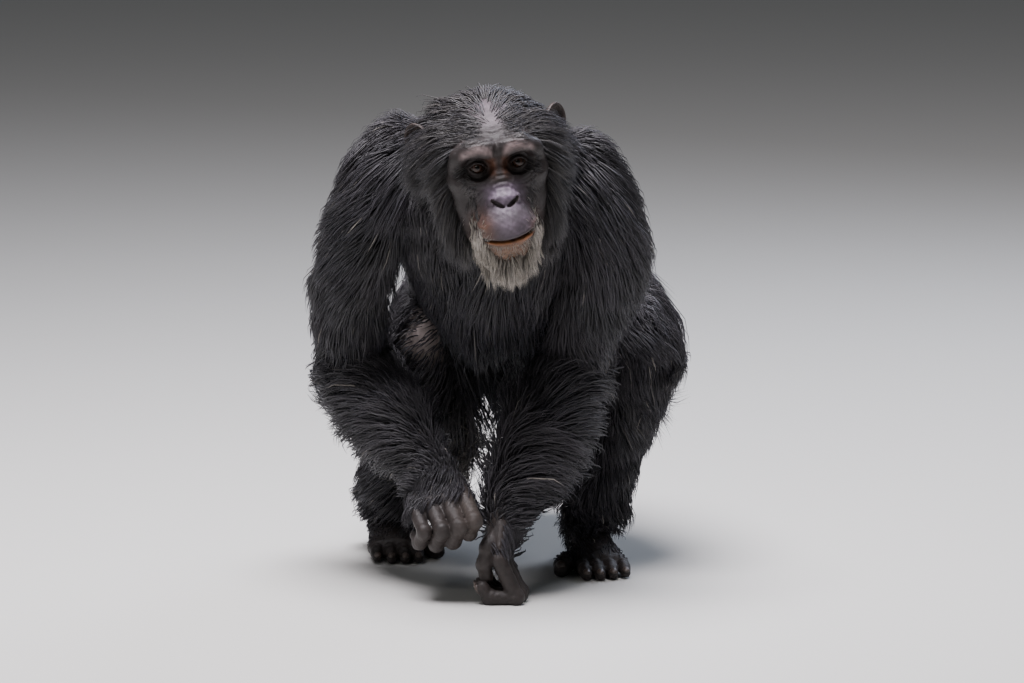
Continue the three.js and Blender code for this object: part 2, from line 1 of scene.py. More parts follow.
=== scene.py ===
# %% [markdown]
# # A chimpanzee that walks on its knuckles
# An adult male, life size, in mid stride: it leans on the knuckles of its left hand, its right hand
# swings forward just above the ground and its knees are bent beside the belly. Lengths are in
# millimetres in the animal's own frame (x to its left, -y forward, z up) until a mesh is made.

# %% Setting up
import math

import bpy
import numpy as np
from mathutils import Matrix, Vector
from mathutils.kdtree import KDTree


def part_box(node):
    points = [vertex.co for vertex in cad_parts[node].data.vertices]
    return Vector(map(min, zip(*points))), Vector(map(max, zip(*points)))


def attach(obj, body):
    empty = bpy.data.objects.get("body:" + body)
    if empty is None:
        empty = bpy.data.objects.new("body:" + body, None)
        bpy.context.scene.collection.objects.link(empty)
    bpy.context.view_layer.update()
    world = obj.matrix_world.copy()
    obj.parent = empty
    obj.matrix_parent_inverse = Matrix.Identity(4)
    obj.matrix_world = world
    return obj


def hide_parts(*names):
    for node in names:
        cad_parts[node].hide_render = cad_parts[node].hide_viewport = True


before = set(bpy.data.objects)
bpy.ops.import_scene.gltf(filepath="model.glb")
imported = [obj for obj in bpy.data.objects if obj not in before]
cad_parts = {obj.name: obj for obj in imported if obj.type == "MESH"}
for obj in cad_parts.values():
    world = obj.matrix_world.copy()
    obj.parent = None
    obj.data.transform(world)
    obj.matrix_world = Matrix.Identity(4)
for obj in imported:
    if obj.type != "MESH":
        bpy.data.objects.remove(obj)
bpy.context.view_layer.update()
rng = np.random.default_rng(7)

# %% [markdown]
# ## Small tools
# Every surface here is a closed skin over soft masses. Metaballs or sculpting could make one, but a
# distance to the masses, worked out on whole arrays, gives full control and stays quick. These
# functions shape such distances: an eased step, a bell, and a meld that rounds the join of two.

# %% Units and shaping functions
MM = 0.001


def unit(v):
    return v / np.maximum(np.linalg.norm(v, axis=-1, keepdims=True), 1e-9)


def ease(x, low, high):
    t = np.clip((x - low) / (high - low), 0, 1)
    return t * t * (3 - 2 * t)


def bell(x, middle, width):
    return np.exp(-(((x - middle) / width) ** 2))


def meld(a, b, reach):
    h = np.maximum(reach - np.abs(a - b), 0) / reach
    return np.minimum(a, b) - h * h * reach / 4


WAVES = 7
WAVES_SUM = 3.2  # the largest sum that seven waves usually reach


def ripple(p, size, seed=0):
    """Smooth noise between -1 and 1, from a few waves in fixed directions."""
    draw = np.random.default_rng(seed)
    total = np.zeros(len(p))
    for _ in range(WAVES):
        way = unit(draw.normal(size=3))
        total += np.sin((p @ way) * (2 * math.pi / size) * draw.uniform(0.6, 1.6) + draw.uniform(0, 6.3))
    return total / WAVES_SUM


def linear(code):
    """An sRGB colour in hex as linear RGB."""
    parts = [int(code[i:i + 2], 16) / 255 for i in (1, 3, 5)]
    return np.array([c / 12.92 if c <= 0.04045 else ((c + 0.055) / 1.055) ** 2.4 for c in parts])


print("mid grey in linear light", linear("#808080").round(3))

# %% [markdown]
# ## From distances to a mesh
# A grid of distances becomes a mesh with one point in each cell that the surface crosses, at the
# mean of the crossings on the cell's edges. Its faces have four sides of nearly one size, which
# smooth well and carry colours and fine creases better than long slivers would.

# %% Surface, normals and smoothing
def surface(field, low, step):
    """The zero surface of a grid of distances as points and four-sided faces."""
    inside = field < 0
    size = np.array(field.shape) - 1
    corners = [np.array((i, j, k)) for i in (0, 1) for j in (0, 1) for k in (0, 1)]
    count = np.zeros(size, np.int8)
    for c in corners:
        count += inside[c[0]:c[0] + size[0], c[1]:c[1] + size[1], c[2]:c[2] + size[2]]
    active = (count > 0) & (count < 8)
    index = np.full(size, -1)
    index[active] = np.arange(active.sum())
    cells = np.argwhere(active)
    total = np.zeros((len(cells), 3))
    hits = np.zeros(len(cells))
    for a in corners:
        for axis in range(3):
            if a[axis]:
                continue
            b = a.copy()
            b[axis] = 1
            fa = field[tuple((cells + a).T)]
            fb = field[tuple((cells + b).T)]
            crossed = (fa < 0) != (fb < 0)
            share = np.where(crossed, fa / np.where(crossed, fa - fb, 1), 0)
            total += crossed[:, None] * (a + share[:, None] * (b - a))
            hits += crossed
    points = np.array(low) + (cells + total / hits[:, None]) * step
    faces = []
    for axis in range(3):
        u, v = [i for i in range(3) if i != axis]
        first = np.take(inside, range(size[axis]), axis)
        second = np.take(inside, range(1, size[axis] + 1), axis)
        edge = np.argwhere(first != second)
        across, above = edge[:, u], edge[:, v]
        edge = edge[(across > 0) & (above > 0) & (across < size[u]) & (above < size[v])]
        eu, ev = np.eye(3, dtype=int)[[u, v]]
        ring = [index[tuple(e.T)] for e in (edge - eu - ev, edge - ev, edge, edge - eu)]
        quad = np.stack(ring, 1)
        flip = first[tuple(edge.T)] ^ (axis == 1)
        quad[~flip] = quad[~flip][:, ::-1]
        faces.append(quad)
    return points, np.concatenate(faces)


def normals_of(points, faces):
    """The unit normal at each point, from the diagonals of the faces round it."""
    first = points[faces[:, 2]] - points[faces[:, 0]]
    second = points[faces[:, 3]] - points[faces[:, 1]]
    face = np.cross(first, second)
    total = np.zeros_like(points)
    for k in range(4):
        np.add.at(total, faces[:, k], face)
    return unit(total)


def relax(points, faces, rounds, share=0.5):
    """Smooth a mesh by moving each point towards the mean of its neighbours."""
    count = np.bincount(faces.ravel(), minlength=len(points))[:, None] * 2.0
    for _ in range(rounds):
        total = np.zeros_like(points)
        for k in range(4):
            for other in (1, 3):
                np.add.at(total, faces[:, k], points[faces[:, (k + other) % 4]])
        points = points + share * (total / np.maximum(count, 1) - points)
    return points


# %% [markdown]
# ## From arrays to objects
# Each piece is written to Blender in one go, because adding a million faces one by one would take
# minutes. Values such as a colour or a place along a lock are kept per point for the materials.

# %% Objects and their values per point
def mesh_object(name, points, groups):
    """A smooth mesh from points in millimetres and a list of arrays of equal-sided faces."""
    mesh = bpy.data.meshes.new(name)
    mesh.vertices.add(len(points))
    mesh.vertices.foreach_set("co", (np.asarray(points) * MM + SHIFT).astype(np.float32).ravel())
    loops = np.concatenate([g.ravel() for g in groups])
    sides = np.concatenate([np.full(len(g), g.shape[1]) for g in groups])
    mesh.loops.add(len(loops))
    mesh.loops.foreach_set("vertex_index", loops.astype(np.int32))
    mesh.polygons.add(len(sides))
    mesh.polygons.foreach_set("loop_start", np.r_[0, np.cumsum(sides)[:-1]].astype(np.int32))
    mesh.polygons.foreach_set("loop_total", sides.astype(np.int32))
    mesh.update(calc_edges=True)
    mesh.polygons.foreach_set("use_smooth", np.full(len(sides), True))
    made = bpy.data.objects.new(name, mesh)
    bpy.context.scene.collection.objects.link(made)
    return made


def join(name, parts):
    """One object from parts of points and groups of faces, all four-sided faces first."""
    quads, tris, start = [], [], 0
    for points, *groups in parts:
        for group in groups:
            (quads if group.shape[1] == 4 else tris).append(group + start)
        start += len(points)
    points = np.concatenate([part[0] for part in parts])
    return mesh_object(name, points, [np.concatenate(quads), np.concatenate(tris)])


def paint(mesh, name, values):
    """A value per point, one number or a colour, for the materials to read."""
    if values.ndim == 1:
        layer = mesh.attributes.new(name, "FLOAT", "POINT")
        layer.data.foreach_set("value", values.astype(np.float32))
    else:
        layer = mesh.attributes.new(name, "FLOAT_COLOR", "POINT")
        full = np.concatenate([values, np.ones((len(values), 1))], 1)
        layer.data.foreach_set("color", full.astype(np.float32).ravel())


# %% [markdown]
# ## Where the animal stands
# The head is turned, leant and nodded a little on the neck, so it is modelled upright in a frame of
# its own between the eyes and then placed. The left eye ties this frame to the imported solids, so
# that skin and coat fall exactly over them.

# %% Frame of the head
EYES_AT = np.array([1.0, -100, 602])
TURN, LEAN, NOD = math.radians(6), math.radians(-8), math.radians(8)
EYE_RADIUS = 11.5
EYE_SPREAD = 27
UPRIGHT = Matrix.Rotation(LEAN, 3, "Y") @ Matrix.Rotation(NOD, 3, "X")
HEAD = np.array(Matrix.Rotation(TURN, 3, "Z") @ UPRIGHT)


def from_head(p):
    return np.asarray(p) @ HEAD.T + EYES_AT


def to_head(p):
    return (np.asarray(p) - EYES_AT) @ HEAD


eye_box = np.array(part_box("eye_left"))
SHIFT = eye_box.mean(axis=0) - from_head([EYE_SPREAD, 0, 0]) * MM
print("shift", SHIFT)

# %% [markdown]
# ## The camera
# The picture was taken from far off with a long lens, from a little above the animal, so the
# perspective is flat. Nine metres gives the same small difference between near and far hand.

# %% Camera
AIM = np.array([20.3, 100, 338.5]) * MM + SHIFT
DISTANCE = 9.0
DOWN = math.radians(8)
FILM_WIDTH = 36
LENS = 234.14
camera = bpy.data.cameras.new("camera")
camera.sensor_width = FILM_WIDTH
camera.lens = LENS
camera_object = bpy.data.objects.new("camera", camera)
camera_object.location = Vector(AIM) + DISTANCE * Vector((0, -math.cos(DOWN), math.sin(DOWN)))
camera_object.rotation_euler = (math.pi / 2 - DOWN, 0, 0)
bpy.context.scene.collection.objects.link(camera_object)
bpy.context.scene.camera = camera_object
print("lens", LENS, "mm at", DISTANCE, "m")

# %% [markdown]
# ## The body under the coat
# Trunk and limbs are long, bent and oval in section, with the thick muscle near the body. A box
# pushed into shape would need many edits to follow the pose, so each part is lofted along its bone:
# a smooth curve through stations, with an oval at each. The same bone later tells each lock of hair
# which way is down the limb.

# %% What a bone is
COAT_ROOM = 60  # how far from its flesh a bone is still worked out, for hair and joins
END_STRETCH = 1.35  # hair past the end of a bone lies on a cap this much longer than the flesh's
END_DRAW = 0.12


class Bone:
    """A bent, tapering body of oval sections along stations of (middle, half width, half depth, coat)."""

    def __init__(self, stations, side, caps=(0.8, 0.8), samples=25):
        middle = np.array([s[0] for s in stations], float)
        half = np.array([[s[1] - s[3], s[2] - s[3]] for s in stations], float)
        gaps = np.linalg.norm(np.diff(middle, axis=0), axis=1)
        share = np.r_[0, np.cumsum(gaps)] / gaps.sum()
        slope = np.gradient(middle, share, axis=0)
        self.t = np.linspace(0, 1, samples)
        i = np.clip(np.searchsorted(share, self.t, "right") - 1, 0, len(share) - 2)
        span = (share[i + 1] - share[i])[:, None]
        s = (self.t - share[i])[:, None] / span
        leave = (2 * s ** 3 - 3 * s ** 2 + 1) * middle[i] + (s ** 3 - 2 * s ** 2 + s) * span * slope[i]
        arrive = (s ** 3 - s ** 2) * span * slope[i + 1]
        self.centre = leave + (3 * s ** 2 - 2 * s ** 3) * middle[i + 1] + arrive
        self.half = np.stack([np.interp(self.t, share, half[:, k]) for k in (0, 1)], 1)
        self.along = unit(np.gradient(self.centre, axis=0))
        side = unit(np.array(side, float))
        self.across = unit(side - (self.along @ side)[:, None] * self.along)
        self.deep = np.cross(self.along, self.across)
        self.length = np.linalg.norm(np.diff(self.centre, axis=0), axis=1).sum()
        self.caps = caps
        reach = self.half.max() + COAT_ROOM
        self.low, self.high = self.centre.min(0) - reach, self.centre.max(0) + reach

    def at(self, table, t):
        return np.stack([np.interp(t, self.t, table[:, k]) for k in range(table.shape[1])], 1)

    def frame(self, t):
        """Middle, tangent, width way, depth way and half sizes at t."""
        return [self.at(table, t) for table in (self.centre, self.along, self.across, self.deep, self.half)]

    def locate(self, p):
        """Share along the bone and the offset across, in depth and past an end."""
        best = np.full(len(p), 1e12)
        t = np.zeros(len(p))
        for i in range(len(self.t) - 1):
            a, line = self.centre[i], self.centre[i + 1] - self.centre[i]
            s = np.clip((p - a) @ line / (line @ line), 0, 1)
            d = ((p - a - s[:, None] * line) ** 2).sum(1)
            nearer = d < best
            best[nearer] = d[nearer]
            t[nearer] = (i + s[nearer]) / (len(self.t) - 1)
        middle, along, across, deep, half = self.frame(t)
        q = p - middle
        past = np.where((t <= 0) | (t >= 1), (q * along).sum(1), 0)
        return t, (q * across).sum(1), (q * deep).sum(1), past, half

    def distance(self, p):
        """Distance from points to the flesh, negative inside it."""
        t, x, z, past, half = self.locate(p)
        cap = half.min(1) * np.where(t > 0.5, self.caps[1], self.caps[0])
        k = np.sqrt((x / half[:, 0]) ** 2 + (z / half[:, 1]) ** 2 + (past / cap) ** 2)
        r = np.sqrt(x * x + z * z + past * past)
        return np.where(k > 1e-3, r - r / np.maximum(k, 1e-3), -half.min(1))

    def place(self, t, turn, height):
        """The point at share t and angle turn, height above the skin; past an end it draws in."""
        inner = np.clip(t, 0, 1)
        middle, along, across, deep, half = self.frame(inner)
        past = (t - inner) * self.length
        cap = half.min(1) * np.where(t > 0.5, self.caps[1], self.caps[0])
        draw = np.sqrt(np.maximum(1 - (np.abs(past) / (cap * END_STRETCH)) ** 2, END_DRAW))
        w = (half[:, 0] * draw + height) * np.cos(turn)
        d = (half[:, 1] * draw + height) * np.sin(turn)
        return middle + past[:, None] * along + w[:, None] * across + d[:, None] * deep

# %% [markdown]
# ## The bones of this animal
# Each station gives the middle of the solid and its half width and half depth. Its last number is
# how much of that is coat, so the skin lies that far inside. The arms are longer than the legs, as
# in every ape that walks on its knuckles, and the bent knees stand out beside the belly.

# %% Bones
BONES = {
    "trunk": Bone([
        ((-10, 58, 548), 98, 88, 10),
        ((-12, 130, 514), 126, 138, 12),
        ((-10, 230, 478), 130, 158, 12),
        ((5, 340, 436), 126, 150, 12),
        ((24, 450, 400), 119, 134, 12),
        ((32, 550, 378), 114, 112, 12),
        ((32, 620, 352), 86, 82, 12),
    ], (1, 0, 0), (0.5, 0.9), 33),
    "neck": Bone([
        ((0, 22, 588), 58, 60, 6),
        ((-4, 56, 574), 76, 78, 9),
        ((-10, 96, 552), 82, 84, 10),
    ], (1, 0, 0)),
    "upper_arm_left": Bone([
        ((102, 108, 574), 56, 56, 9),
        ((130, 98, 522), 60, 58, 10),
        ((145, 104, 464), 60, 58, 11),
        ((137, 130, 405), 56, 54, 11),
        ((117, 160, 345), 48, 44, 10),
        ((104, 185, 288), 42, 38, 9),
    ], (0.3, 0.9, 0.35)),
    "upper_arm_right": Bone([
        ((-122, 126, 590), 60, 58, 9),
        ((-152, 114, 545), 61, 58, 10),
        ((-180, 130, 485), 58, 55, 11),
        ((-198, 170, 415), 54, 52, 11),
        ((-202, 218, 345), 48, 47, 10),
        ((-198, 262, 282), 40, 36, 9),
    ], (-0.3, 0.9, 0.35)),
    "forearm_left": Bone([
        ((104, 185, 288), 42, 42, 9),
        ((86, 155, 258), 52, 50, 12),
        ((50, 98, 194), 50, 46, 15),
        ((16, 44, 138), 37, 33, 12),
        ((10, 32, 122), 28, 24, 5),
    ], (1, 0, 0)),
    "forearm_right": Bone([
        ((-198, 262, 280), 40, 42, 9),
        ((-180, 226, 262), 50, 50, 12),
        ((-142, 156, 222), 49, 48, 14),
        ((-102, 86, 180), 38, 34, 11),
        ((-92, 70, 170), 31, 26, 6),
    ], (1, 0, 0)),
    "thigh_left": Bone([
        ((92, 520, 352), 62, 78, 10),
        ((150, 430, 342), 66, 78, 11),
        ((188, 340, 322), 56, 68, 10),
        ((200, 284, 306), 48, 60, 8),
    ], (1, 0, 0)),
    "thigh_right": Bone([
        ((-30, 560, 352), 62, 78, 10),
        ((-66, 470, 342), 64, 76, 11),
        ((-86, 385, 322), 58, 66, 9),
        ((-90, 338, 304), 54, 58, 6),
    ], (1, 0, 0)),
    "shin_left": Bone([
        ((199, 282, 300), 46, 46, 8),
        ((180, 296, 222), 48, 48, 11),
        ((150, 300, 142), 44, 42, 13),
        ((128, 292, 78), 35, 35, 10),
    ], (1, 0, 0)),
    "shin_right": Bone([
        ((-93, 336, 298), 46, 46, 6),
        ((-108, 366, 222), 48, 48, 10),
        ((-134, 398, 142), 43, 42, 12),
        ((-150, 410, 78), 34, 35, 9),
    ], (1, 0, 0)),
}

for name, bone in BONES.items():
    print(name, round(float(bone.length)), "mm")

# %% [markdown]
# ## The soft masses of the head
# Skull, brow, cheekbones, muzzle and chewing muscles are ovals and rods, melded so that the skin
# runs over them without a break. Only one side is listed, because the other mirrors it. The eyes
# sit deep under the brow in a hollow on each side.

# %% Masses of the head
def mass(centre, radius):
    def distance(x, y, z):
        parts = [(v - c) / r for v, c, r in zip((x, y, z), centre, radius)]
        k = np.sqrt(sum(q * q for q in parts))
        g = np.sqrt(sum((q / r) ** 2 for q, r in zip(parts, radius)))
        return k * (k - 1) / np.maximum(g, 1e-6)
    return distance


def rod(start, end, thin, thick=None):
    start, end = np.array(start, float), np.array(end, float)
    line = end - start
    thick = thin if thick is None else thick

    def distance(x, y, z):
        qx, qy, qz = x - start[0], y - start[1], z - start[2]
        t = np.clip((qx * line[0] + qy * line[1] + qz * line[2]) / (line @ line), 0, 1)
        away = np.sqrt((qx - t * line[0]) ** 2 + (qy - t * line[1]) ** 2 + (qz - t * line[2]) ** 2)
        return away - (thin + (thick - thin) * t)
    return distance


SKULL_MASSES = [
    mass((0, 78, 20), (64, 80, 50)),  # cranium
    mass((0, 20, 20), (50, 39, 29)),  # forehead
    mass((44, 55, 6), (27, 50, 38)),  # temple
    rod((0, -16, 22), (14, -18, 27), 8, 8.5),  # brow ridge, an arch over each eye
    rod((14, -18, 27), (34, -16, 29.5), 8.5, 8.5),
    rod((34, -16, 29.5), (51, -3, 18), 8.5, 7.5),
    rod((51, -3, 18), (58, 8, 2), 7.5, 6),
    mass((50, 12, -18), (16, 21, 13)),  # cheekbone
    rod((36, -8, -20), (62, 35, -12), 9),
    mass((0, 2, -35), (42, 35, 43)),  # middle of the face
    mass((0, -20, -72), (36.5, 44.5, 39)),  # muzzle
    mass((0, -40, -74), (33, 27, 21)),  # swell of the upper lip
    rod((0, -10, -2), (0, -30, -30), 8, 11),  # bridge of the nose
    mass((0, -12, -106), (31, 36, 25)),  # chin
    rod((26, -8, -103), (48, 45, -70), 16, 19),  # jaw
    mass((0, 38, -85), (43, 47, 41)),  # throat
    mass((46, 30, -45), (19, 33, 41)),  # chewing muscle
    mass((0, 118, 0), (58, 53, 56)),  # nape
]
SKULL_MELD = 14
NOSE = [
    mass((12, -38, -37), (11, 9.5, 8.5)),  # wing of the nose
    mass((0, -44, -35), (9, 7.5, 8)),  # tip of the nose
]
NOSE_MELD = 5
ORBIT = mass((27, -15, 2), (19, 15, 14))
ORBIT_MELD = 7
NOSTRIL = rod((3.5, -50, -46), (15.5, -44, -37), 2.1, 3.1)


def skull(x, y, z):
    """Distance to the bald head without its lids, lips and nostrils."""
    x = np.abs(x)
    total = 1e3
    for part in SKULL_MASSES:
        total = meld(total, part(x, y, z), SKULL_MELD)
    for part in NOSE:
        total = meld(total, part(x, y, z), NOSE_MELD)
    return -meld(-total, ORBIT(x, y, z), ORBIT_MELD)


print("skull", len(SKULL_MASSES), "masses on one side")

# %% [markdown]
# ## Lids, lips and nostrils
# The lids are a ball round each eye with an almond cut out of it. The lips are two soft rolls beside
# the line of the mouth, with a slit pressed between them, because they are parted a little. Adding
# them to the distance, not to the mesh, keeps them part of one unbroken skin.

# %% The bare face
LID_RADIUS = 13.6
LID_OPEN_UP, LID_OPEN_DOWN = 6.6, 5.4
MOUTH_HALF = 33
MOUTH_HEIGHT = -87
MOUTH_CORNERS_UP = 4
MOUTH_LEFT_UP = 3.5
LIP_ROLL = 2.6
LIP_SLIT = 5.5


def mouth_line(x):
    """Height of the line of the mouth at x: its corners turn up, its left a little more."""
    u = x / MOUTH_HALF
    return MOUTH_HEIGHT + MOUTH_CORNERS_UP * u * u + MOUTH_LEFT_UP * u


def face(x, y, z):
    """Distance to the bare face with lids round the eyes, parted lips and nostrils."""
    total = skull(x, y, z)
    side = np.abs(x)
    lid = np.sqrt((side - EYE_SPREAD) ** 2 + (y - 0.5) ** 2 + z ** 2) - LID_RADIUS
    total = meld(total, lid, 3)
    # The almond between the lids: the outer corner is higher than the inner one.
    u = (side - EYE_SPREAD) / 11
    tilt = 1.2 * u
    opening = np.maximum(z - tilt - LID_OPEN_UP * (1 - u * u), tilt - LID_OPEN_DOWN * (1 - u * u) - z)
    opening = np.maximum(opening, y + 3)
    total = -meld(-total, opening, 1.2)
    # Lips: two soft rolls with a slit between them that runs round the front of the muzzle.
    front = y < 8
    up = z - mouth_line(x)
    fade = ease(np.abs(x), 44, 26)
    roll = LIP_ROLL * fade * (bell(up, 4.2, 4.0) + 1.1 * bell(up, -5.0, 4.5))
    slit = LIP_SLIT * fade * bell(up, 0, 1.7)
    total = total - np.where(front, roll - slit, 0)
    return -meld(-total, NOSTRIL(side, y, z), 2)

# %% [markdown]
# ## Folds of the face
# An old male's face is creased leather: pouches under the eyes, lines across the brow and the bridge
# of the nose, folds from the nostrils round the muzzle. A bump texture would vanish at the edge of
# the face, so each fold is a line on its front with a depth and a width, pressed into the mesh.

# %% Folds of the face
def arc(centre, radius, start, end, squash=1.0, count=9):
    turns = np.radians(np.linspace(start, end, count))
    return [(centre[0] + radius * math.cos(a), centre[1] + squash * radius * math.sin(a)) for a in turns]


FOLDS = [
    (arc((27, 1), 15.5, -170, -12, 0.9), 1.3, 1.5),  # pouches under the eye
    (arc((27, 1), 19.5, -160, -25, 0.95), 1.0, 1.6),
    (arc((28, 0), 24, -150, -40), 0.7, 1.8),
    (arc((27, 0), 13.5, 158, 25, 0.85), 1.1, 1.3),  # upper lids
    (arc((27, 4), 15, 150, 30, 0.9), 0.8, 1.3),
    (((44, 4), (52, 2), (59, 4)), 0.8, 1.4),  # lines beside the eye
    (((44, -2), (52, -7), (59, -8)), 0.8, 1.4),
    (((43, -8), (50, -14), (56, -17)), 0.6, 1.4),
    (((3.5, 12), (4.5, 22), (3, 31)), 0.9, 1.4),  # between the brows
    (((9, 14), (11, 24), (10, 32)), 0.6, 1.4),
    (((0, -7), (8, -8.5), (13, -13)), 1.0, 1.5),  # across the bridge of the nose
    (((0, -14), (8, -15), (12, -20)), 0.9, 1.4),
    (((0, -21), (8, -22), (13, -27)), 0.8, 1.4),
    (((0, 38), (18, 40.5), (38, 37)), 1.3, 1.5),  # forehead
    (((0, 43), (20, 45), (38, 42)), 1.2, 1.5),
    (((0, 48.5), (18, 50), (32, 47)), 0.9, 1.5),
    (((0, 55), (18, 56), (28, 53)), 0.5, 1.6),
    (((14, -27), (22, -36), (30, -50), (35, -66)), 2.0, 2.4),  # round the muzzle
    (((17, -22), (28, -34), (37, -50), (42, -68)), 1.2, 2.2),
    (((22, -20), (36, -32), (45, -48), (48, -66)), 0.9, 2.2),
    (((0, -50), (0, -60), (0, -68)), 0.8, 1.8),  # groove of the upper lip
    (((36, -74), (41, -86), (40, -98)), 1.4, 2.2),  # corner of the mouth
    (((42, -74), (47, -86), (46, -100)), 0.9, 2.0),
    (((0, -100), (15, -101), (27, -96)), 1.2, 2.4),  # under the lower lip
    (((0, -109), (14, -109), (24, -105)), 0.7, 2.2),
]


FOLD_WANDER = 0.8  # how far a fold strays from its line
FOLD_EDGE = 0.45  # how high the skin swells beside a fold, as a share of its depth


def crease(q):
    """How deep the folds press into the skin at points of the head."""
    x, y, z = np.abs(q[:, 0]), q[:, 1], q[:, 2]
    wander = FOLD_WANDER * ripple(q, 17, 5)
    flat = np.stack([x + wander, z + FOLD_WANDER * ripple(q, 14, 6)], 1)
    depth = np.zeros(len(q))
    for line, deep, wide in FOLDS:
        line = np.array(line, float)
        away = np.full(len(q), 1e3)
        for a, b in zip(line[:-1], line[1:]):
            ab = b - a
            s = np.clip((flat - a) @ ab / (ab @ ab), 0, 1)
            away = np.minimum(away, np.linalg.norm(flat - a - s[:, None] * ab, axis=1))
        # A fold fades out at its ends, but one that starts in the middle of the face runs across it.
        ends = np.linalg.norm(flat - line[-1], axis=1)
        if line[0][0] > 0:
            ends = np.minimum(np.linalg.norm(flat - line[0], axis=1), ends)
        soft = ease(ends, -2, 6)
        depth += deep * soft * (bell(away, 0, wide) - FOLD_EDGE * bell(away, 2.2 * wide, 1.2 * wide))
    # Fine upright wrinkles round the lips, and cross-hatched leather everywhere.
    up = z - mouth_line(q[:, 0])
    lips = bell(up, 8, 7) + bell(up, -8, 6)
    depth += 0.22 * lips * np.sin(q[:, 0] * 1.9 + 0.35 * up) * ease(x, 40, 28)
    depth += 0.16 * ripple(q, 7, 8)
    return depth * ease(y, 26, 4)


print("folds", len(FOLDS))

# %% [markdown]
# ## The face as a mesh
# The face is polygonised finely, with a point every millimetre and a half, because it is bare and
# everyone looks at it first. It is smoothed once before the folds are pressed in, so they stay crisp.

# %% Mesh of the face
FAR = 200.0  # a distance for places that nothing comes near


def grid_points(low, shape, step):
    axes = [low[i] + step * np.arange(shape[i]) for i in range(3)]
    return np.stack(np.meshgrid(*axes, indexing="ij"), -1).reshape(-1, 3)


def body_field(low, shape, step, names, reach):
    """Distance to the melded flesh of some bones on a grid, each worked out only near itself."""
    field = np.full(shape, FAR)
    for name in names:
        bone = BONES[name]
        first = np.maximum(((bone.low - low) / step).astype(int), 0)
        last = np.minimum(((bone.high - low) / step).astype(int) + 1, shape)
        if np.any(last <= first):
            continue
        part = tuple(slice(a, b) for a, b in zip(first, last))
        points = grid_points(np.array(low) + first * step, last - first, step)
        d = bone.distance(points).reshape(tuple(last - first))
        field[part] = meld(field[part], d, reach)
    return field


FACE_STEP = 1.45
face_low = np.array([-72.0, -74.0, -142.0])
face_shape = np.array([100, 96, 156])
axes = [face_low[i] + FACE_STEP * np.arange(face_shape[i]) for i in range(3)]
field = face(axes[0][:, None, None], axes[1][None, :, None], axes[2][None, None, :])
face_points, face_faces = surface(field, face_low, FACE_STEP)
face_points = relax(face_points, face_faces, 1, 0.35)
face_normals = normals_of(face_points, face_faces)
face_points = face_points - face_normals * crease(face_points)[:, None]
print("face", len(face_points), "points and", len(face_faces), "faces")

# %% [markdown]
# ## The body as a mesh
# The rest of the animal is polygonised coarsely, because the coat covers it. The two run into one
# another under the hair at the edge of the face, so the body's faces there are left out.

# %% Mesh of the body
BODY_STEP = 5.5
BODY_MELD = 26
HEAD_MELD = 24
HEAD_REACH = 230  # how far from the eyes the distance to the head is worked out
body_low = np.array([-275.0, -60.0, 40.0])
body_shape = np.array([101, 144, 126])
field = body_field(body_low, body_shape, BODY_STEP, BONES, BODY_MELD)
head_local = to_head(grid_points(body_low, body_shape, BODY_STEP))
near_head = np.abs(head_local).max(1) < HEAD_REACH
head_distance = np.full(len(head_local), FAR)
head_distance[near_head] = skull(*head_local[near_head].T)
field = meld(field, head_distance.reshape(tuple(body_shape)), HEAD_MELD)
body_points, body_faces = surface(field, body_low, BODY_STEP)
body_points = relax(body_points, body_faces, 3)
body_in_head = to_head(body_points)
aside, back, up = np.abs(body_in_head[:, 0]), body_in_head[:, 1], body_in_head[:, 2]
covered = (back < 58) & (aside < 70) & (up > -134) & (up < 80)
body_faces = body_faces[~covered[body_faces].all(1)]
print("body", len(body_points), "points and", len(body_faces), "faces")

# %% [markdown]
# ## Hands and feet
# Palm and sole are flattened bodies, and each digit is a row of rods with swollen joints. The left
# hand bears on the backs of its middle finger bones; the right one is loosely closed in the air.
# A row of knuckles is set by its two ends, and every finger folds by the same three steps, longer
# or shorter by its own share.

# %% Where hands and feet are
KNUCKLES = {
    "left": dict(wrist=(10, 32, 124), index=(3, -24, 60), little=(9, 44, 58)),
    "right": dict(wrist=(-92, 70, 172), index=(-42, 4, 139), little=(-108, 8, 120)),
}
FINGER_RADIUS = (10.6, 11, 10.6, 9.4)
FINGER_SHARE = (0.94, 1.04, 1, 0.84)
HOLD = {
    "left": ((24, -2, -49), (-36, 2, -1.5), (-12, 0, 16)),
    "right": ((13, -36, -26), (-8, 22, -21), (-6, 16, 10)),
}
THUMB = {
    "left": ((4, 2, 100), (-12, -16, 76), (-17, -18, 54), (-15, -14, 38)),
    "right": ((-74, 44, 154), (-46, 36, 130), (-36, 20, 108), (-38, 6, 92)),
}
THUMB_RADIUS = 10.5
FIRST_JOINT_HEIGHT = 10  # of the hand that bears weight
BACK_OF_HAND = {"left": (1, 0, 0), "right": (0.1, -0.6, 0.8)}
UP = (0, 0, 1)
FEET = {
    "left": dict(heel=(118, 348), ball=(142, 206), inner=-1),
    "right": dict(heel=(-158, 476), ball=(-142, 334), inner=1),
}
TOE_LENGTH = (46, 48, 44, 36)
TOE_RADIUS = (8.8, 8.8, 8.6, 8.2)
FIRST_TOE_ASIDE, TOE_GAP = 28, 18.8
HEEL_TO_BALL = 142
GREAT_TOE = ((0.62, 20, 16), (0.84, 43, 15.5), (0.98, 52, 13.5), (1.08, 57, 11.5))
GREAT_TOE_RADIUS = 12.5

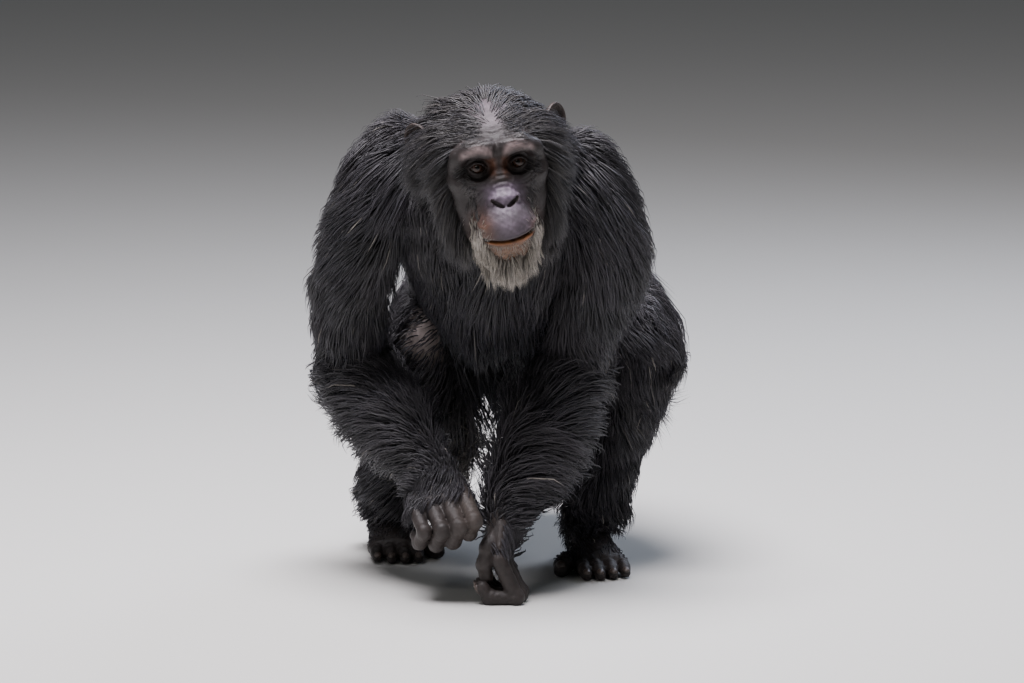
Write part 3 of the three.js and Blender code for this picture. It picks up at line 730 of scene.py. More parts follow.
# %% Digits
def digits_of_hand(side):
    """The joints, radius and back of each finger and of the thumb."""
    index, little = (np.array(KNUCKLES[side][k], float) for k in ("index", "little"))
    made = []
    for i, (radius, share) in enumerate(zip(FINGER_RADIUS, FINGER_SHARE)):
        points = [index + (little - index) * i / 3]
        for x, y, z in HOLD[side]:
            last = points[-1]
            bears = side == "left" and len(points) == 1
            drop = FIRST_JOINT_HEIGHT - last[2] if bears else z * share
            points.append(last + (x * share, y * share, drop))
        made.append((points, radius, BACK_OF_HAND[side]))
    made.append(([np.array(p, float) for p in THUMB[side]], THUMB_RADIUS, BACK_OF_HAND[side]))
    return made


def on_foot(side, share, off, z):
    """A place at a share of the way from heel to ball, off to the inner side and z up."""
    heel, ball = (np.array(FEET[side][k], float) for k in ("heel", "ball"))
    way = ball - heel
    aside = unit(np.array((way[1], -way[0])))
    aside *= off * FEET[side]["inner"] * np.sign(aside[0])
    spot = heel + way * share + aside
    return np.array((spot[0], spot[1], z))


def digits_of_foot(side):
    made = []
    for i, (length, radius) in enumerate(zip(TOE_LENGTH, TOE_RADIUS)):
        off, reach = FIRST_TOE_ASIDE - TOE_GAP * i, length / HEEL_TO_BALL
        points = [on_foot(side, s, off, z) for s, z in (
            (0.96, 14), (1 + reach * 0.3, 14.5), (1 + reach * 0.68, 12.5), (1 + reach, 8.7))]
        made.append((points, radius, UP))
    made.append(([on_foot(side, *spot) for spot in GREAT_TOE], GREAT_TOE_RADIUS, UP))
    return made


print("digits of a hand and a foot", len(digits_of_hand("left")), len(digits_of_foot("left")))

# %% [markdown]
# ## Flesh of the hands and feet
# Both the creases over the joints and the small wrinkles are pressed into the shape, because bare
# hands and feet are seen from all sides. The grain is fine here and the wrist runs up into the limb,
# where the hair hides the change from the fine mesh to the coarse one.

# %% Palms and soles
def palm_bone(side):
    wrist, index, little = (np.array(KNUCKLES[side][k], float) for k in ("wrist", "index", "little"))
    row = (index + little) / 2
    wide = np.linalg.norm(index - little) / 2
    return Bone([
        (wrist, 24, 19, 0.5),
        (wrist + (row - wrist) * 0.45, wide + 3, 17, 0.5),
        (wrist + (row - wrist) * 0.92, wide + 10, 13.5, 0.5),
    ], little - index, (0.6, 0.5))


def foot_bone(side):
    return Bone([
        (on_foot(side, 0, 0, 24), 24, 25, 0.5),
        (on_foot(side, 0.36, 0, 30), 27, 33, 0.5),
        (on_foot(side, 0.7, 2, 23), 34, 26, 0.5),
        (on_foot(side, 1, 0, 14), 37, 16, 0.5),
    ], (1, 0, 0), (0.8, 0.4))


HAND_STEP, FOOT_STEP = 1.9, 2.3
MARGIN = 34
LIMB_MELD, WRIST_MELD, WRIST_RADIUS = 12, 14, 22
JOINT_CREASE = 0.55
JOINT_SWELL = 1.03


def extremity(base, digits, limb, step):
    """A hand or foot with the near end of its limb, as one fine surface."""
    ends = np.concatenate([np.array(points) for points, _, _ in digits] + [base.centre, limb.centre[-7:]])
    low = ends.min(0) - MARGIN
    shape = tuple(((ends.max(0) + MARGIN - low) / step).astype(int))
    points = grid_points(low, shape, step)
    whole = meld(base.distance(points), limb.distance(points), LIMB_MELD)
    x, y, z = points.T
    heart = base.centre[len(base.centre) * 2 // 5]
    wrist = rod(limb.centre[-1], heart, limb.half[-1].min(), WRIST_RADIUS)
    whole = meld(whole, wrist(x, y, z), WRIST_MELD)
    for joints, radius, back in digits:
        one = 1e3
        back = unit(np.array(back, float))
        for k in range(len(joints) - 1):
            thin = radius * (1.03, 0.98, 0.9)[k]
            one = meld(one, rod(joints[k], joints[k + 1], thin, thin * 0.97)(x, y, z), 3)
            if k:
                swollen = rod(joints[k] - back, joints[k] + back, radius * JOINT_SWELL)
                one = meld(one, swollen(x, y, z), 4)
        # Creases across the back of each joint.
        for k in (1, 2):
            way = unit(joints[k + 1] - joints[k - 1])
            s = (points - joints[k]) @ way
            near = ((points - joints[k]) ** 2).sum(1) < (1.8 * radius) ** 2
            one = one + near * JOINT_CREASE * (bell(s, -3.2, 1.1) + bell(s, 0.4, 1.1) + bell(s, 4, 1.1))
        root = ease(((points - joints[0]) ** 2).sum(1) ** 0.5, 30, 12)
        whole = meld(whole, one, 1.2 + 7 * root)
    made, faces = surface(whole.reshape(shape), low, step)
    made = relax(made, faces, 1, 0.4)
    grain = 0.25 * ripple(made, 6, 3) + 0.35 * ripple(made, 15, 4)
    made = made - normals_of(made, faces) * grain[:, None]
    # Flesh is pressed flat where it meets the ground.
    made[:, 2] = np.maximum(made[:, 2], -SHIFT[2] / MM)
    return made, faces, (low, np.array(low) + np.array(shape) * step)


extremities = {}
for side in ("left", "right"):
    for part, limb, base, digits, step in (
            ("hand", "forearm", palm_bone(side), digits_of_hand(side), HAND_STEP),
            ("foot", "shin", foot_bone(side), digits_of_foot(side), FOOT_STEP)):
        points, faces, box = extremity(base, digits, BONES[f"{limb}_{side}"], step)
        extremities[f"{part}_{side}"] = (points, faces, box, digits)
        print(part, side, len(points), "points and", len(faces), "faces")

# %% [markdown]
# ## Ears
# The ears of an old chimpanzee stand out like open cups: a rolled rim, a ridge inside it and a deep
# hollow. Gristle as thin as this is hard to catch on a grid of distances, so each ear is a bowl of
# rings that runs from the hollow over the rim to the back, its hollow turned forwards and out.

# %% Ears
EAR_AT = (90, 95, 12)
EAR_HALF_WIDTH, EAR_HALF_HEIGHT = 25, 34
EAR_RINGS = [  # share of the ear's size and depth of each ring
    (0.12, -8.5), (0.3, -8), (0.48, -6.5), (0.58, -3.5),  # hollow
    (0.66, -2.6), (0.74, -3.6), (0.82, -1.2),  # ridge
    (0.89, 2.4), (0.95, 4.6), (0.99, 4.2), (1.0, 1.8),  # rolled rim
    (0.97, -0.8), (0.9, -3.6), (0.76, -8), (0.58, -12), (0.4, -14), (0.2, -15),  # back
]


def ear(sign, around=56):
    """Points, four-sided and three-sided faces of one ear; sign is 1 for the left."""
    out = unit(np.array((sign * 0.62, 0.78, 0.08)))
    up = unit(np.array((0, 0.12, 1.0)))
    front = unit(np.cross(out, up) * sign)
    root = np.array((sign * EAR_AT[0], *EAR_AT[1:]))
    turn = np.linspace(0, 2 * math.pi, around, endpoint=False)
    rings = []
    for r, d in EAR_RINGS:
        wide = EAR_HALF_WIDTH * (1 + 0.14 * np.sin(turn)) * r
        tall = EAR_HALF_HEIGHT * r * np.ones(around)
        # The ridge and rim fade towards the head, where the ear joins it.
        open_side = 0.5 + 0.5 * np.cos(turn)
        dip = d - 2.2 * bell(r, 0.7, 0.1) * bell(turn, math.pi, 0.9) + 0.5 * np.sin(5 * turn) * r
        dip = dip + (1 - open_side) * 1.5 * bell(r, 0.95, 0.1)
        rings.append(root + (wide * np.cos(turn))[:, None] * out
                     + (tall * np.sin(turn))[:, None] * up + dip[:, None] * front)
    points = np.concatenate(rings + [rings[0].mean(0, keepdims=True), rings[-1].mean(0, keepdims=True)])
    k = np.arange(around)
    n = (k + 1) % around
    faces = [np.stack([i * around + k, i * around + n, (i + 1) * around + n, (i + 1) * around + k], 1)
             for i in range(len(rings) - 1)]
    first, last = len(rings) * around, len(rings) * around + 1
    end = (len(rings) - 1) * around
    caps = [np.stack([n, k, np.full(around, first)], 1),
            np.stack([end + k, end + n, np.full(around, last)], 1)]
    quads, tris = np.concatenate(faces), np.concatenate(caps)
    if sign > 0:
        quads, tris = quads[:, ::-1], tris[:, ::-1]
    return points, quads, tris


ears = [ear(sign) for sign in (-1, 1)]
print("ears", [len(points) for points, _, _ in ears], "points")

# %% [markdown]
# ## The colours of the skin
# Bare skin is dark brown-grey and leathery. It pales to tan on the brow pads, turns orange-brown on
# the inner sides of the eye sockets, mauve-grey on the nose and upper lip, and brown on the chin. The
# inside of the lips is a wet orange-brown. Painted shade, the darkest tint, fills the slit between the
# lips and the nostrils, and deepens the dark edge of the lids round each eye. A painted picture would
# need an unwrap of the face, so each colour is laid on the points by their place, its edge broken by noise.

# %% Colours of the face
# The darkest tint here is painted shade, for the lip slit, the nostrils and the edge of the lids.
TINT = {name: linear(code) for name, code in dict(
    dark="#1e1817", brow="#7d6d6c", socket="#5a3826", nose="#77697a", lip="#5d535d", chin="#71503a",
    cheek="#211b1a", forehead="#665a61", inner="#84532e", body="#262222", hand="#2c2624", palm="#241e1d",
    ear="#3a302d", knee="#a1948f", hollow_shade="#231a18", finger="#4f4742", jowl="#573e32",
).items()}


def face_colour(q):
    """The colour of the bare face at points of the head."""
    x, y, z = np.abs(q[:, 0]), q[:, 1], q[:, 2]
    blotch = ripple(q, 26, 11)
    fine = ripple(q, 8, 12)
    colour = np.tile(TINT["dark"], (len(q), 1))

    def lay(name, amount):
        amount = np.clip(amount * (1 + 0.22 * blotch + 0.18 * fine), 0, 1)[:, None]
        colour[:] = colour * (1 - amount) + TINT[name] * amount

    lay("forehead", 0.4 * ease(z, 46, 60) * ease(x, 54, 30))
    lay("forehead", 0.6 * bell(x, 0, 14) * bell(z, 66, 17))
    lay("cheek", 0.7 * bell(x, 42, 16) * bell(z, -30, 26))
    arch = z - (30 - 11 * ((x - 27) / 24) ** 2)
    lay("brow", 0.9 * bell(arch, 0, 5.5) * ease(x, 4, 12) * ease(x, 54, 44))
    lay("socket", 0.7 * bell(x, 9, 6) * bell(z, 4, 11))
    lay("nose", 0.95 * bell(x, 0, 20) * bell(z, -34, 16) * ease(z, -12, -22))
    lay("lip", 0.95 * bell(x, 3, 28) * bell(z, -68, 15))
    lay("chin", 0.9 * bell(x, 0, 34) * ease(z, -88, -98))
    lay("jowl", 0.6 * bell(x, 38, 9) * bell(z, -76, 14))
    lay("jowl", 0.8 * bell(q[:, 0], -30, 11) * bell(z, -70, 17))
    up = z - mouth_line(q[:, 0])
    # The wet inside of the lower lip shows more towards the left corner of the mouth.
    wider = ease(q[:, 0], -5, 22)
    wet = bell(up, -2.6 - 1.6 * wider, 2.6 + 1.8 * wider) * ease(x, 37, 27) * ease(y, 8, -8)
    lay("inner", 0.95 * wet * (1 - 0.6 * bell(q[:, 0], 2, 4)))
    # Painted shade: in the slit between the lips, along the dark edge of the lids, and inside the nostrils.
    lay("hollow_shade", 0.9 * bell(up, 0.6, 1.5) * ease(x, 37, 27) * ease(y, 8, -8))
    edge = np.sqrt((x - EYE_SPREAD) ** 2 + (1.3 * z) ** 2)
    lay("hollow_shade", 0.4 * bell(edge, 11.5, 2) * ease(y, 0, -6))
    lay("hollow_shade", 0.95 * ease(NOSTRIL(x, y, z), 1.8, 0))
    fade = np.maximum(ease(y, 50, 10), 0.8 * ease(z, 44, 58) * ease(x, 54, 30))[:, None]
    return colour * fade + TINT["body"] * (1 - fade)


print("colours", ", ".join(TINT))

# %% [markdown]
# ## The colours of limbs and body
# Hands and feet are dark, and darker within 16 mm of the ground. A painted highlight makes the fingers
# of the raised hand paler where they catch the light. Body skin is a dull grey under the coat; the bare
# right knee is pale mauve-grey skin, lightened further with painted light.

# %% Colours of limbs and body
RIGHT_KNEE = np.array((-99, 285, 328))


def limb_colour(p, name):
    blotch = ripple(p, 34, 13)[:, None]
    colour = TINT["hand"] * (1 + 0.22 * blotch + 0.12 * ripple(p, 9, 14)[:, None])
    # Painted highlight: the fingers of the raised right hand are paler round the index, where light catches
    # them.
    if name == "hand_right":
        index = np.array(KNUCKLES["right"]["index"], float)
        middle = index + np.array(HOLD["right"][0]) * 0.5
        near = bell(np.linalg.norm((p - middle) / (1, 1.6, 1.6), axis=1), 0, 22)[:, None]
        colour = colour * (1 - 0.8 * near) + TINT["finger"] * 0.8 * near
    # Darker within 16 mm of the ground, by height alone.
    under = ease(p[:, 2], 16, 4)[:, None]
    return colour * (1 - 0.45 * under) + TINT["palm"] * 0.45 * under


def body_colour(p):
    blotch = ripple(p, 60, 15)[:, None]
    colour = TINT["body"] * (1 + 0.2 * blotch)
    q = to_head(p)
    scalp = 0.5 * (ease(np.abs(q[:, 0]), 50, 25) * ease(q[:, 1], 115, 75) * ease(q[:, 2], 40, 56))[:, None]
    colour = colour * (1 - scalp) + TINT["forehead"] * scalp
    # The bare right knee: pale mauve-grey skin, lightened further with painted light.
    knee = bell(np.linalg.norm(p - RIGHT_KNEE, axis=1), 0, 60)[:, None]
    return colour * (1 - 0.85 * knee) + TINT["knee"] * 0.85 * knee

# %% [markdown]
# ## One skin
# A real hide has no seams, so face, body, hands, feet and ears become one piece. Where a fine hand or
# foot stands, the coarse limb is left out but for a short overlap, which the coat covers.

# %% Skin
OVERLAP = 9
limb_of = {
    "hand_left": "forearm_left",
    "hand_right": "forearm_right",
    "foot_left": "shin_left",
    "foot_right": "shin_right",
}
distances = np.stack([bone.distance(body_points) for bone in BONES.values()], 1)
nearest = distances.argmin(1)
bone_names = list(BONES)
drop = np.zeros(len(body_points), bool)
for name, (_, _, (low, high), _) in extremities.items():
    inside = ((body_points > low + OVERLAP) & (body_points < high - OVERLAP)).all(1)
    drop |= inside & (nearest == bone_names.index(limb_of[name]))
body_faces = body_faces[~drop[body_faces].all(1)]

parts = [(body_points, body_faces), (from_head(face_points), face_faces)]
colours = [body_colour(body_points), face_colour(face_points)]
for name, (points, faces, _, _) in extremities.items():
    parts.append((points, faces))
    colours.append(limb_colour(points, name))
for points, quads, tris in ears:
    parts.append((from_head(points), quads, tris))
    colours.append(TINT["ear"] * (1 + 0.25 * ripple(points, 12, 16)[:, None]))
skin = join("skin", parts)
paint(skin.data, "tint", np.clip(np.concatenate(colours), 0, 1))
print("skin", len(skin.data.polygons), "faces")

# %% [markdown]
# ## Eyes
# The eye is a ball with a low dome of cornea over a brown iris, and its white is dark in an ape. It
# could be two shells, clear over coloured, but at this distance one ball with a swollen front and a
# wet coat looks the same. Its points know how far they lie off the line of sight, for the iris.

# %% Eyes
CORNEA_SWELL = 0.05
EYE_FIT = 0.985  # the ball is this much smaller than its socket


def ball(around=48, rings=36):
    """A ball of radius 1 with its poles on z: points, four-sided and three-sided faces."""
    polar = np.linspace(0, math.pi, rings + 1)[1:-1]
    turn = np.linspace(0, 2 * math.pi, around, endpoint=False)
    grid = np.stack([
        np.sin(polar)[:, None] * np.cos(turn),
        np.sin(polar)[:, None] * np.sin(turn),
        np.cos(polar)[:, None] * np.ones(around),
    ], -1).reshape(-1, 3)
    points = np.concatenate([grid, [[0, 0, 1], [0, 0, -1]]])
    k = np.arange(around)
    n = (k + 1) % around
    quads = np.concatenate([
        np.stack([i * around + k, (i + 1) * around + k, (i + 1) * around + n, i * around + n], 1)
        for i in range(len(polar) - 1)])
    last = (len(polar) - 1) * around
    tris = np.concatenate([
        np.stack([k, n, np.full(around, len(grid))], 1),
        np.stack([last + n, last + k, np.full(around, len(grid) + 1)], 1)])
    return points, quads, tris


GAZE = unit(np.array((0.02, -0.985, 0.10)))
eyes = []
for side, sign in (("left", 1), ("right", -1)):
    points, quads, tris = ball()
    off_axis = np.degrees(np.arccos(np.clip(points[:, 2], -1, 1)))
    swell = 1 + CORNEA_SWELL * ease(off_axis, 42, 6)
    across = unit(np.cross(GAZE, (0, 0, 1)))
    above = np.cross(across, GAZE)
    placed = points[:, :1] * across + points[:, 1:2] * above + points[:, 2:] * GAZE
    centre = from_head([sign * EYE_SPREAD, 0, 0])
    placed = centre + placed * (EYE_RADIUS * swell)[:, None] * EYE_FIT
    eye = mesh_object(f"eyeball_{side}", placed, [quads, tris])
    paint(eye.data, "off_axis", off_axis)
    # The iris has fine spokes, so this noise changes round the ball but not along it.
    turn = np.arctan2(points[:, 1], points[:, 0])
    circle = np.stack([np.cos(turn) * 9, np.sin(turn) * 9, np.zeros(len(points))], 1)
    paint(eye.data, "spoke", ripple(circle, 2.4, 21))
    eyes.append(eye)
print("eyes", [len(eye.data.polygons) for eye in eyes], "faces")

# %% [markdown]
# ## Nails
# The nails are low, curved plates of dark horn on the backs of the finger and toe tips. Each is a
# flattened ball, bent down at its sides and sunk into the tip, so only its back shows.

# %% Nails
NAIL_SIZE = (0.62, 0.8, 0.42)  # half width, half length and half depth, in radii of the digit
NAIL_BEND = 0.02
NAIL_FORWARD, NAIL_OUT = 0.1, 0.56
NAIL_ABOVE_GROUND = 0.2
plates = []
for _, _, _, digits in extremities.values():
    for joints, radius, back in digits:
        way = unit(joints[-1] - joints[-2])
        first = unit(joints[1] - joints[0])
        across = unit(np.cross(back, first))
        up = unit(np.cross(way, across))
        points, quads, tris = ball(16, 10)
        flat = points * [radius * size for size in NAIL_SIZE]
        flat[:, 2] -= NAIL_BEND * flat[:, 0] ** 2
        middle = joints[-1] + way * radius * NAIL_FORWARD + up * radius * NAIL_OUT
        placed = middle + flat[:, :1] * across + flat[:, 1:2] * way + flat[:, 2:] * up
        placed[:, 2] = np.maximum(placed[:, 2], -SHIFT[2] / MM + NAIL_ABOVE_GROUND)
        plates.append((placed, quads, tris))
nails = join("nails", plates)
print("nails", len(plates), "with", len(nails.data.polygons), "faces")

# %% [markdown]
# ## The coat
# Coarse black guard hair, 30 to 70 mm long, lies along each limb and clings in locks. Hair curves
# would be lighter, but a solid mesh looks the same in every program, so the coat is built of closed
# tapering locks. Drawing each a little towards the tip of a leading lock nearby makes the parted
# look of real fur.

# %% Roots and clumps
CLUMP_BEND = 1.7  # above 1, locks come together near their tips and not at their roots


def scatter(points, faces, weight, count):
    """Roots spread over a surface by weight: their places and normals."""
    corners = points[faces]
    area = np.linalg.norm(np.cross(corners[:, 2] - corners[:, 0], corners[:, 3] - corners[:, 1]), axis=1) / 2
    total = np.cumsum(area * weight[faces].mean(1))
    pick = np.searchsorted(total, (np.arange(count) + rng.random(count)) / count * total[-1])
    pick = np.minimum(pick, len(faces) - 1)
    u, v = rng.random((2, count, 1))
    normals = normals_of(points, faces)[faces[pick]]
    share = np.stack([(1 - u) * (1 - v), u * (1 - v), u * v, (1 - u) * v], 1)
    return (corners[pick] * share).sum(1), unit((normals * share).sum(1))


def gather(paths, pull, sparse=14):
    """Draw locks together towards the tip of a leading lock nearby."""
    leaders = rng.permutation(len(paths))[:max(len(paths) // sparse, 1)]
    tree = KDTree(len(leaders))
    for i, lead in enumerate(leaders):
        tree.insert(paths[lead, 0], i)
    tree.balance()
    chief = np.array([leaders[tree.find(root)[1]] for root in paths[:, 0]])
    s = np.linspace(0, 1, paths.shape[1])[None, :, None]
    apart = (paths[chief][:, :1] - paths[:, :1]) * (1 - s)
    return paths + pull * s ** CLUMP_BEND * (paths[chief] - paths - apart)

# %% [markdown]
# ## One lock
# A lock has three sides, a flat back and a low ridge, and closes in a point. A round one would need
# twice the faces and look the same from here. Each lock also gets a small patch on the coat's map,
# at the place of its root on the unwrapped limb, so that a painter could colour the coat later.

# %% Locks
# Places along a short and a long lock, and its width at each but the tip.
STATIONS = {2: np.array([0, 0.5, 1]), 3: np.array([0, 0.34, 0.7, 1])}
FATNESS = {2: np.array([0.8, 1]), 3: np.array([0.75, 1, 0.72])}
LOCK_BACK, LOCK_RIDGE = 0.16, 0.34
CHART_SHARE, CHART_EDGE = 0.97, 0.012
PATCH = (0.0014, 0.003)
coats = []


def locks_mesh(name, paths, normals, width, chart, attributes):
    """Closed locks along the paths, each with its own patch of the coat's map at its root."""
    count, stations = len(paths), paths.shape[1] - 1
    fat = FATNESS[stations][None, :, None] * width[:, None, None]
    line = unit(np.gradient(paths, axis=1))[:, :stations]
    side = unit(np.cross(line, np.repeat(normals[:, None], stations, 1)))
    up = np.cross(side, line)
    middle = paths[:, :stations]
    ring = np.stack([middle - side * fat / 2 - up * fat * LOCK_BACK,
                     middle + side * fat / 2 - up * fat * LOCK_BACK,
                     middle + up * fat * LOCK_RIDGE], 2)
    points = np.concatenate([ring.reshape(count, stations * 3, 3), paths[:, -1:]], 1)
    per = stations * 3 + 1
    quads = np.array([[3 * i + k, 3 * i + (k + 1) % 3, 3 * i + 3 + (k + 1) % 3, 3 * i + 3 + k]
                      for i in range(stations - 1) for k in range(3)])
    low = 3 * (stations - 1)
    tris = np.array([[2, 1, 0]] + [[low + k, low + (k + 1) % 3, per - 1] for k in range(3)])
    base = (np.arange(count) * per)[:, None, None]
    made = mesh_object(name, points.reshape(-1, 3),
                       [(quads + base).reshape(-1, 4), (tris + base).reshape(-1, 3)])
    steps = np.repeat(np.arange(stations) / stations, 3)
    local = np.concatenate([np.stack([np.tile((-1, 1, 0), stations), steps], 1), [[0, 1]]])
    spot = chart[:, None] * CHART_SHARE + CHART_EDGE + local[None] * PATCH
    corner = np.empty(len(made.data.loops), np.int32)
    made.data.loops.foreach_get("vertex_index", corner)
    layer = made.data.uv_layers.new(name="OFBake")
    layer.data.foreach_set("uv", spot.reshape(-1, 2)[corner].astype(np.float32).ravel())
    along = np.tile(np.append(np.repeat(STATIONS[stations][:-1], 3), 1), count)
    paint(made.data, "along", along)
    for key, values in attributes.items():
        paint(made.data, key, np.repeat(values, per))
    coats.append(made)


for steps in FATNESS:
    print("a lock of", steps, "steps has", 6 * steps - 2, "triangles")

# %% [markdown]
# ## Hair along a bone
# Hair on a limb lies close to it and turns with it, so each lock is led over the oval of its bone:
# so far along and so far round for its length, and rising a little. Where the skin lies off the
# oval, it keeps that distance. Past the ends of a bone it simply bends over the skin at its root.

# %% Hair on one limb
HEAD_CLEAR = 4  # hair of the body starts this far from the skin of the head
ROOT_DEPTH = 1.2
LONG_HAIR = 24
ROUND_EXTRA = 6
OVER_END = 0.45
HAIR_ABOVE_GROUND = 6


def limb_coat(name, bone_name, count, length, width, lie, height, weight=None, grey=0.01, pull=0.24,
              span=(0, 1), droop=0.12, short=False):
    """Locks on one limb; lie says which way they point and weight where they grow."""
    bone = BONES[bone_name]
    mine = (ground_bone == bone_names.index(bone_name)).astype(float)
    t, x, z, past, half = bone.locate(ground_points)
    mine *= (t >= span[0]) & (t <= span[1] + (span[1] == 1))
    if weight is not None:
        mine *= weight(ground_points, t + past / bone.length)
    clear = ground_gap > HEAD_CLEAR
    roots, normals = scatter(ground_points, ground_faces, mine * clear + 1e-9, count)
    t, x, z, past, half = bone.locate(roots)
    turn = np.arctan2(z / half[:, 1], x / half[:, 0])
    share = t + past / bone.length
    middle, along, across, deep, _ = bone.frame(t)
    round_way = -np.sin(turn)[:, None] * across + np.cos(turn)[:, None] * deep
    way = unit(lie(roots, t, along))
    swirl = 0.3 * ripple(roots, 90, 31) + 0.18 * ripple(roots, 34, 32) + rng.normal(0, 0.09, count)
    ca, cr = (way * along).sum(1), (way * round_way).sum(1)
    size = np.maximum(np.hypot(ca, cr), 0.25)
    ca, cr = ca / size, cr / size
    ca, cr = ca * np.cos(swirl) - cr * np.sin(swirl), ca * np.sin(swirl) + cr * np.cos(swirl)
    long = length(roots, t) * (1 + 0.18 * ripple(roots, 50, 33) + rng.normal(0, 0.12, count)).clip(0.5, 1.5)
    radius = half.mean(1) + ROUND_EXTRA
    rise = height(roots, t) * (1 + 0.35 * ripple(roots, 40, 34) + rng.normal(0, 0.25, count)).clip(0.25, 2)
    stations = 3 if long.mean() > LONG_HAIR else 2
    offset = roots - bone.place(share, turn, np.zeros(count))
    # Where the skin lies far off the bone's oval, a lock keeps that distance all along.
    ebb = 0.6 * ease(np.linalg.norm(offset, axis=1), 22, 8)[:, None]
    flat = unit(way - (way * normals).sum(1, keepdims=True) * normals)
    # Past the ends of a bone, and on hands and feet, a lock simply bends over the skin at its root.
    end = np.ones((count, 1)) if short else ease(np.abs(past), 2, 14)[:, None]
    if not short:
        long = long * (1 - 0.4 * end[:, 0])
    path = []
    for s in STATIONS[stations]:
        reach = long * s
        h = rise * (1 - (1 - s) ** 1.8) - ROOT_DEPTH * (s == 0)
        spot = bone.place(share + ca * reach / bone.length, turn + cr * reach / radius, h)
        spot = spot + offset * (1 - ebb * s)
        bent = roots + flat * reach[:, None] + normals * (h - OVER_END * reach ** 2 / radius)[:, None]
        spot = spot * (1 - end) + bent * end
        spot[:, 2] -= droop * long * s * s
        path.append(spot)
    paths = gather(np.stack(path, 1), pull)
    paths[:, :, 2] = np.maximum(paths[:, :, 2], HAIR_ABOVE_GROUND)
    chart = np.stack([(turn / (2 * math.pi)) % 1, np.clip(share, -0.2, 1.2) / 1.4 + 0.143], 1)
    widths = width * rng.uniform(0.7, 1.3, count)
    # Locks that face up are painted lighter, as painted light from above; the rest of the tone differs at
    # random.
    tone_and_top_light = 0.42 + 0.3 * normals[:, 2] + 0.25 * ripple(roots, 70, 35) + rng.normal(0, 0.16, count)
    faded = (rng.random(count) < grey) * rng.uniform(0.1, 0.5, count)
    locks_mesh(name, paths, normals, widths, chart, dict(tone_and_top_light=np.clip(tone_and_top_light, 0, 1), grey=faded))
    print(name, count, "locks", round(float(long.mean())), "mm")

# %% [markdown]
# ## The ground that the coat grows on
# The coat grows on body, hands and feet alike, so they are one ground for it. Each point knows the
# bone that it belongs to and how far it lies from the head, whose hair is combed in its own way.

# %% Ground of the coat
UNREACHED = 300.0
HEAD_HAIR_REACH = 260
INSET = 3
head_gap = np.full(len(body_points), UNREACHED)
near = np.abs(body_in_head).max(1) < HEAD_HAIR_REACH
head_gap[near] = skull(*body_in_head[near].T)
on_head = head_gap < distances.min(1)
head_gap[on_head] = -1
ground_points, ground_faces = [body_points], [body_faces]
ground_bone, ground_gap, start = [nearest], [head_gap], len(body_points)
for name, (points, faces, (low, high), _) in extremities.items():
    well_in = ((points > low + INSET) & (points < high - INSET)).all(1)
    ground_points.append(points)
    ground_faces.append(faces + start)
    ground_bone.append(np.where(well_in, bone_names.index(limb_of[name]), -1))
    ground_gap.append(np.full(len(points), UNREACHED))
    start += len(points)
ground_points, ground_faces = np.concatenate(ground_points), np.concatenate(ground_faces)
ground_bone, ground_gap = np.concatenate(ground_bone), np.concatenate(ground_gap)
ground_normals = normals_of(ground_points, ground_faces)
print("ground", len(ground_points), "points and", len(ground_faces), "faces")

# %% [markdown]
# ## How the coat lies on the trunk
# It runs down the back to the rump and falls from the flanks. It is longest under the belly, where it
# hangs, and thin on the flank beside the right arm. Combing it by hand couldn't be repeated after a
# change of pose, so each rule is a small function of the place.

# %% Coat of the trunk
def steady(value):
    """The same value for every lock."""
    return lambda p, *_: np.full(len(p), float(value))


def toward(share, pull):
    """A way that goes along the bone by some share and is pulled aside."""
    pull = np.array(pull, float)
    return lambda p, t, along: unit(along * share + pull)


def back_lie(p, t, along):
    side = ease(np.abs(p[:, 0]), 20, 120)[:, None]
    front = ease(p[:, 1], 110, 40)[:, None]
    rear = ease(p[:, 1], 540, 640)[:, None]
    fall = 0.15 + 0.5 * side + 1.2 * front + 0.9 * rear
    return unit(along * (1 - 0.9 * front) + np.array((0, 0, -1)) * fall)


def neck_lie(p, t, along):
    return unit(along * 0.8 + np.array((0, 0, -0.55)) * ease(p[:, 2], 600, 540)[:, None] * 2)


def under(p, t):
    """1 on the belly side of the trunk."""
    bone = BONES["trunk"]
    middle = bone.at(bone.centre, t)
    return ease(middle[:, 2] - p[:, 2], 50, 115)


def by_right_arm(p):
    """1 on the flank beside the right arm, where the coat is thin and lets the knee be seen."""
    return ease(-p[:, 0], 30, 85) * ease(p[:, 1], 330, 270) * ease(p[:, 2], 560, 500)


def trunk_length(p, t):
    rear = ease(p[:, 1], 560, 640)
    belly = under(p, t) * bell(t, 0.45, 0.3)
    return (56 + 14 * ease(t, 0.3, 0.8) - 14 * ease(p[:, 1], 90, 40) + 24 * belly - 30 * rear
            - 28 * by_right_arm(p))


def trunk_height(p, t):
    return (19 + 10 * under(p, t)) * (1 - 0.7 * by_right_arm(p))


def groin_weight(p, t):
    return under(p, t) * bell(p[:, 0], -8, 46) * ease(p[:, 1], 190, 250)


for name, low, high, count, wide in (
        ("coat_chest", 0, 0.36, 8600, 2.1),
        ("coat_belly", 0.36, 0.68, 6000, 2.6),
        ("coat_rump", 0.68, 1, 5200, 2.6)):
    limb_coat(name, "trunk", count, trunk_length, wide, back_lie, trunk_height, span=(low, high), droop=0.2)
limb_coat("coat_groin", "trunk", 1700, steady(120), 2.7, toward(0, (0, 0.2, -1)), steady(20), groin_weight,
          span=(0.2, 0.8), droop=0.75)
limb_coat("coat_neck", "neck", 2900, steady(54), 2.0, neck_lie, steady(19))

# %% [markdown]
# ## Where the limbs are hairy
# Hair on a limb is longest on its inner side, thin on the bare right knee, and grows on the backs of
# hands and feet but not on palms, soles, fingers and toes.

# %% Where the limbs are hairy
def inner(limb, p, t):
    """1 on the side of a limb that faces the other one."""
    middle = BONES[limb].at(BONES[limb].centre, np.clip(t, 0, 1))
    return ease((middle[:, 0] - p[:, 0]) * (1 if "left" in limb else -1), -5, 32)


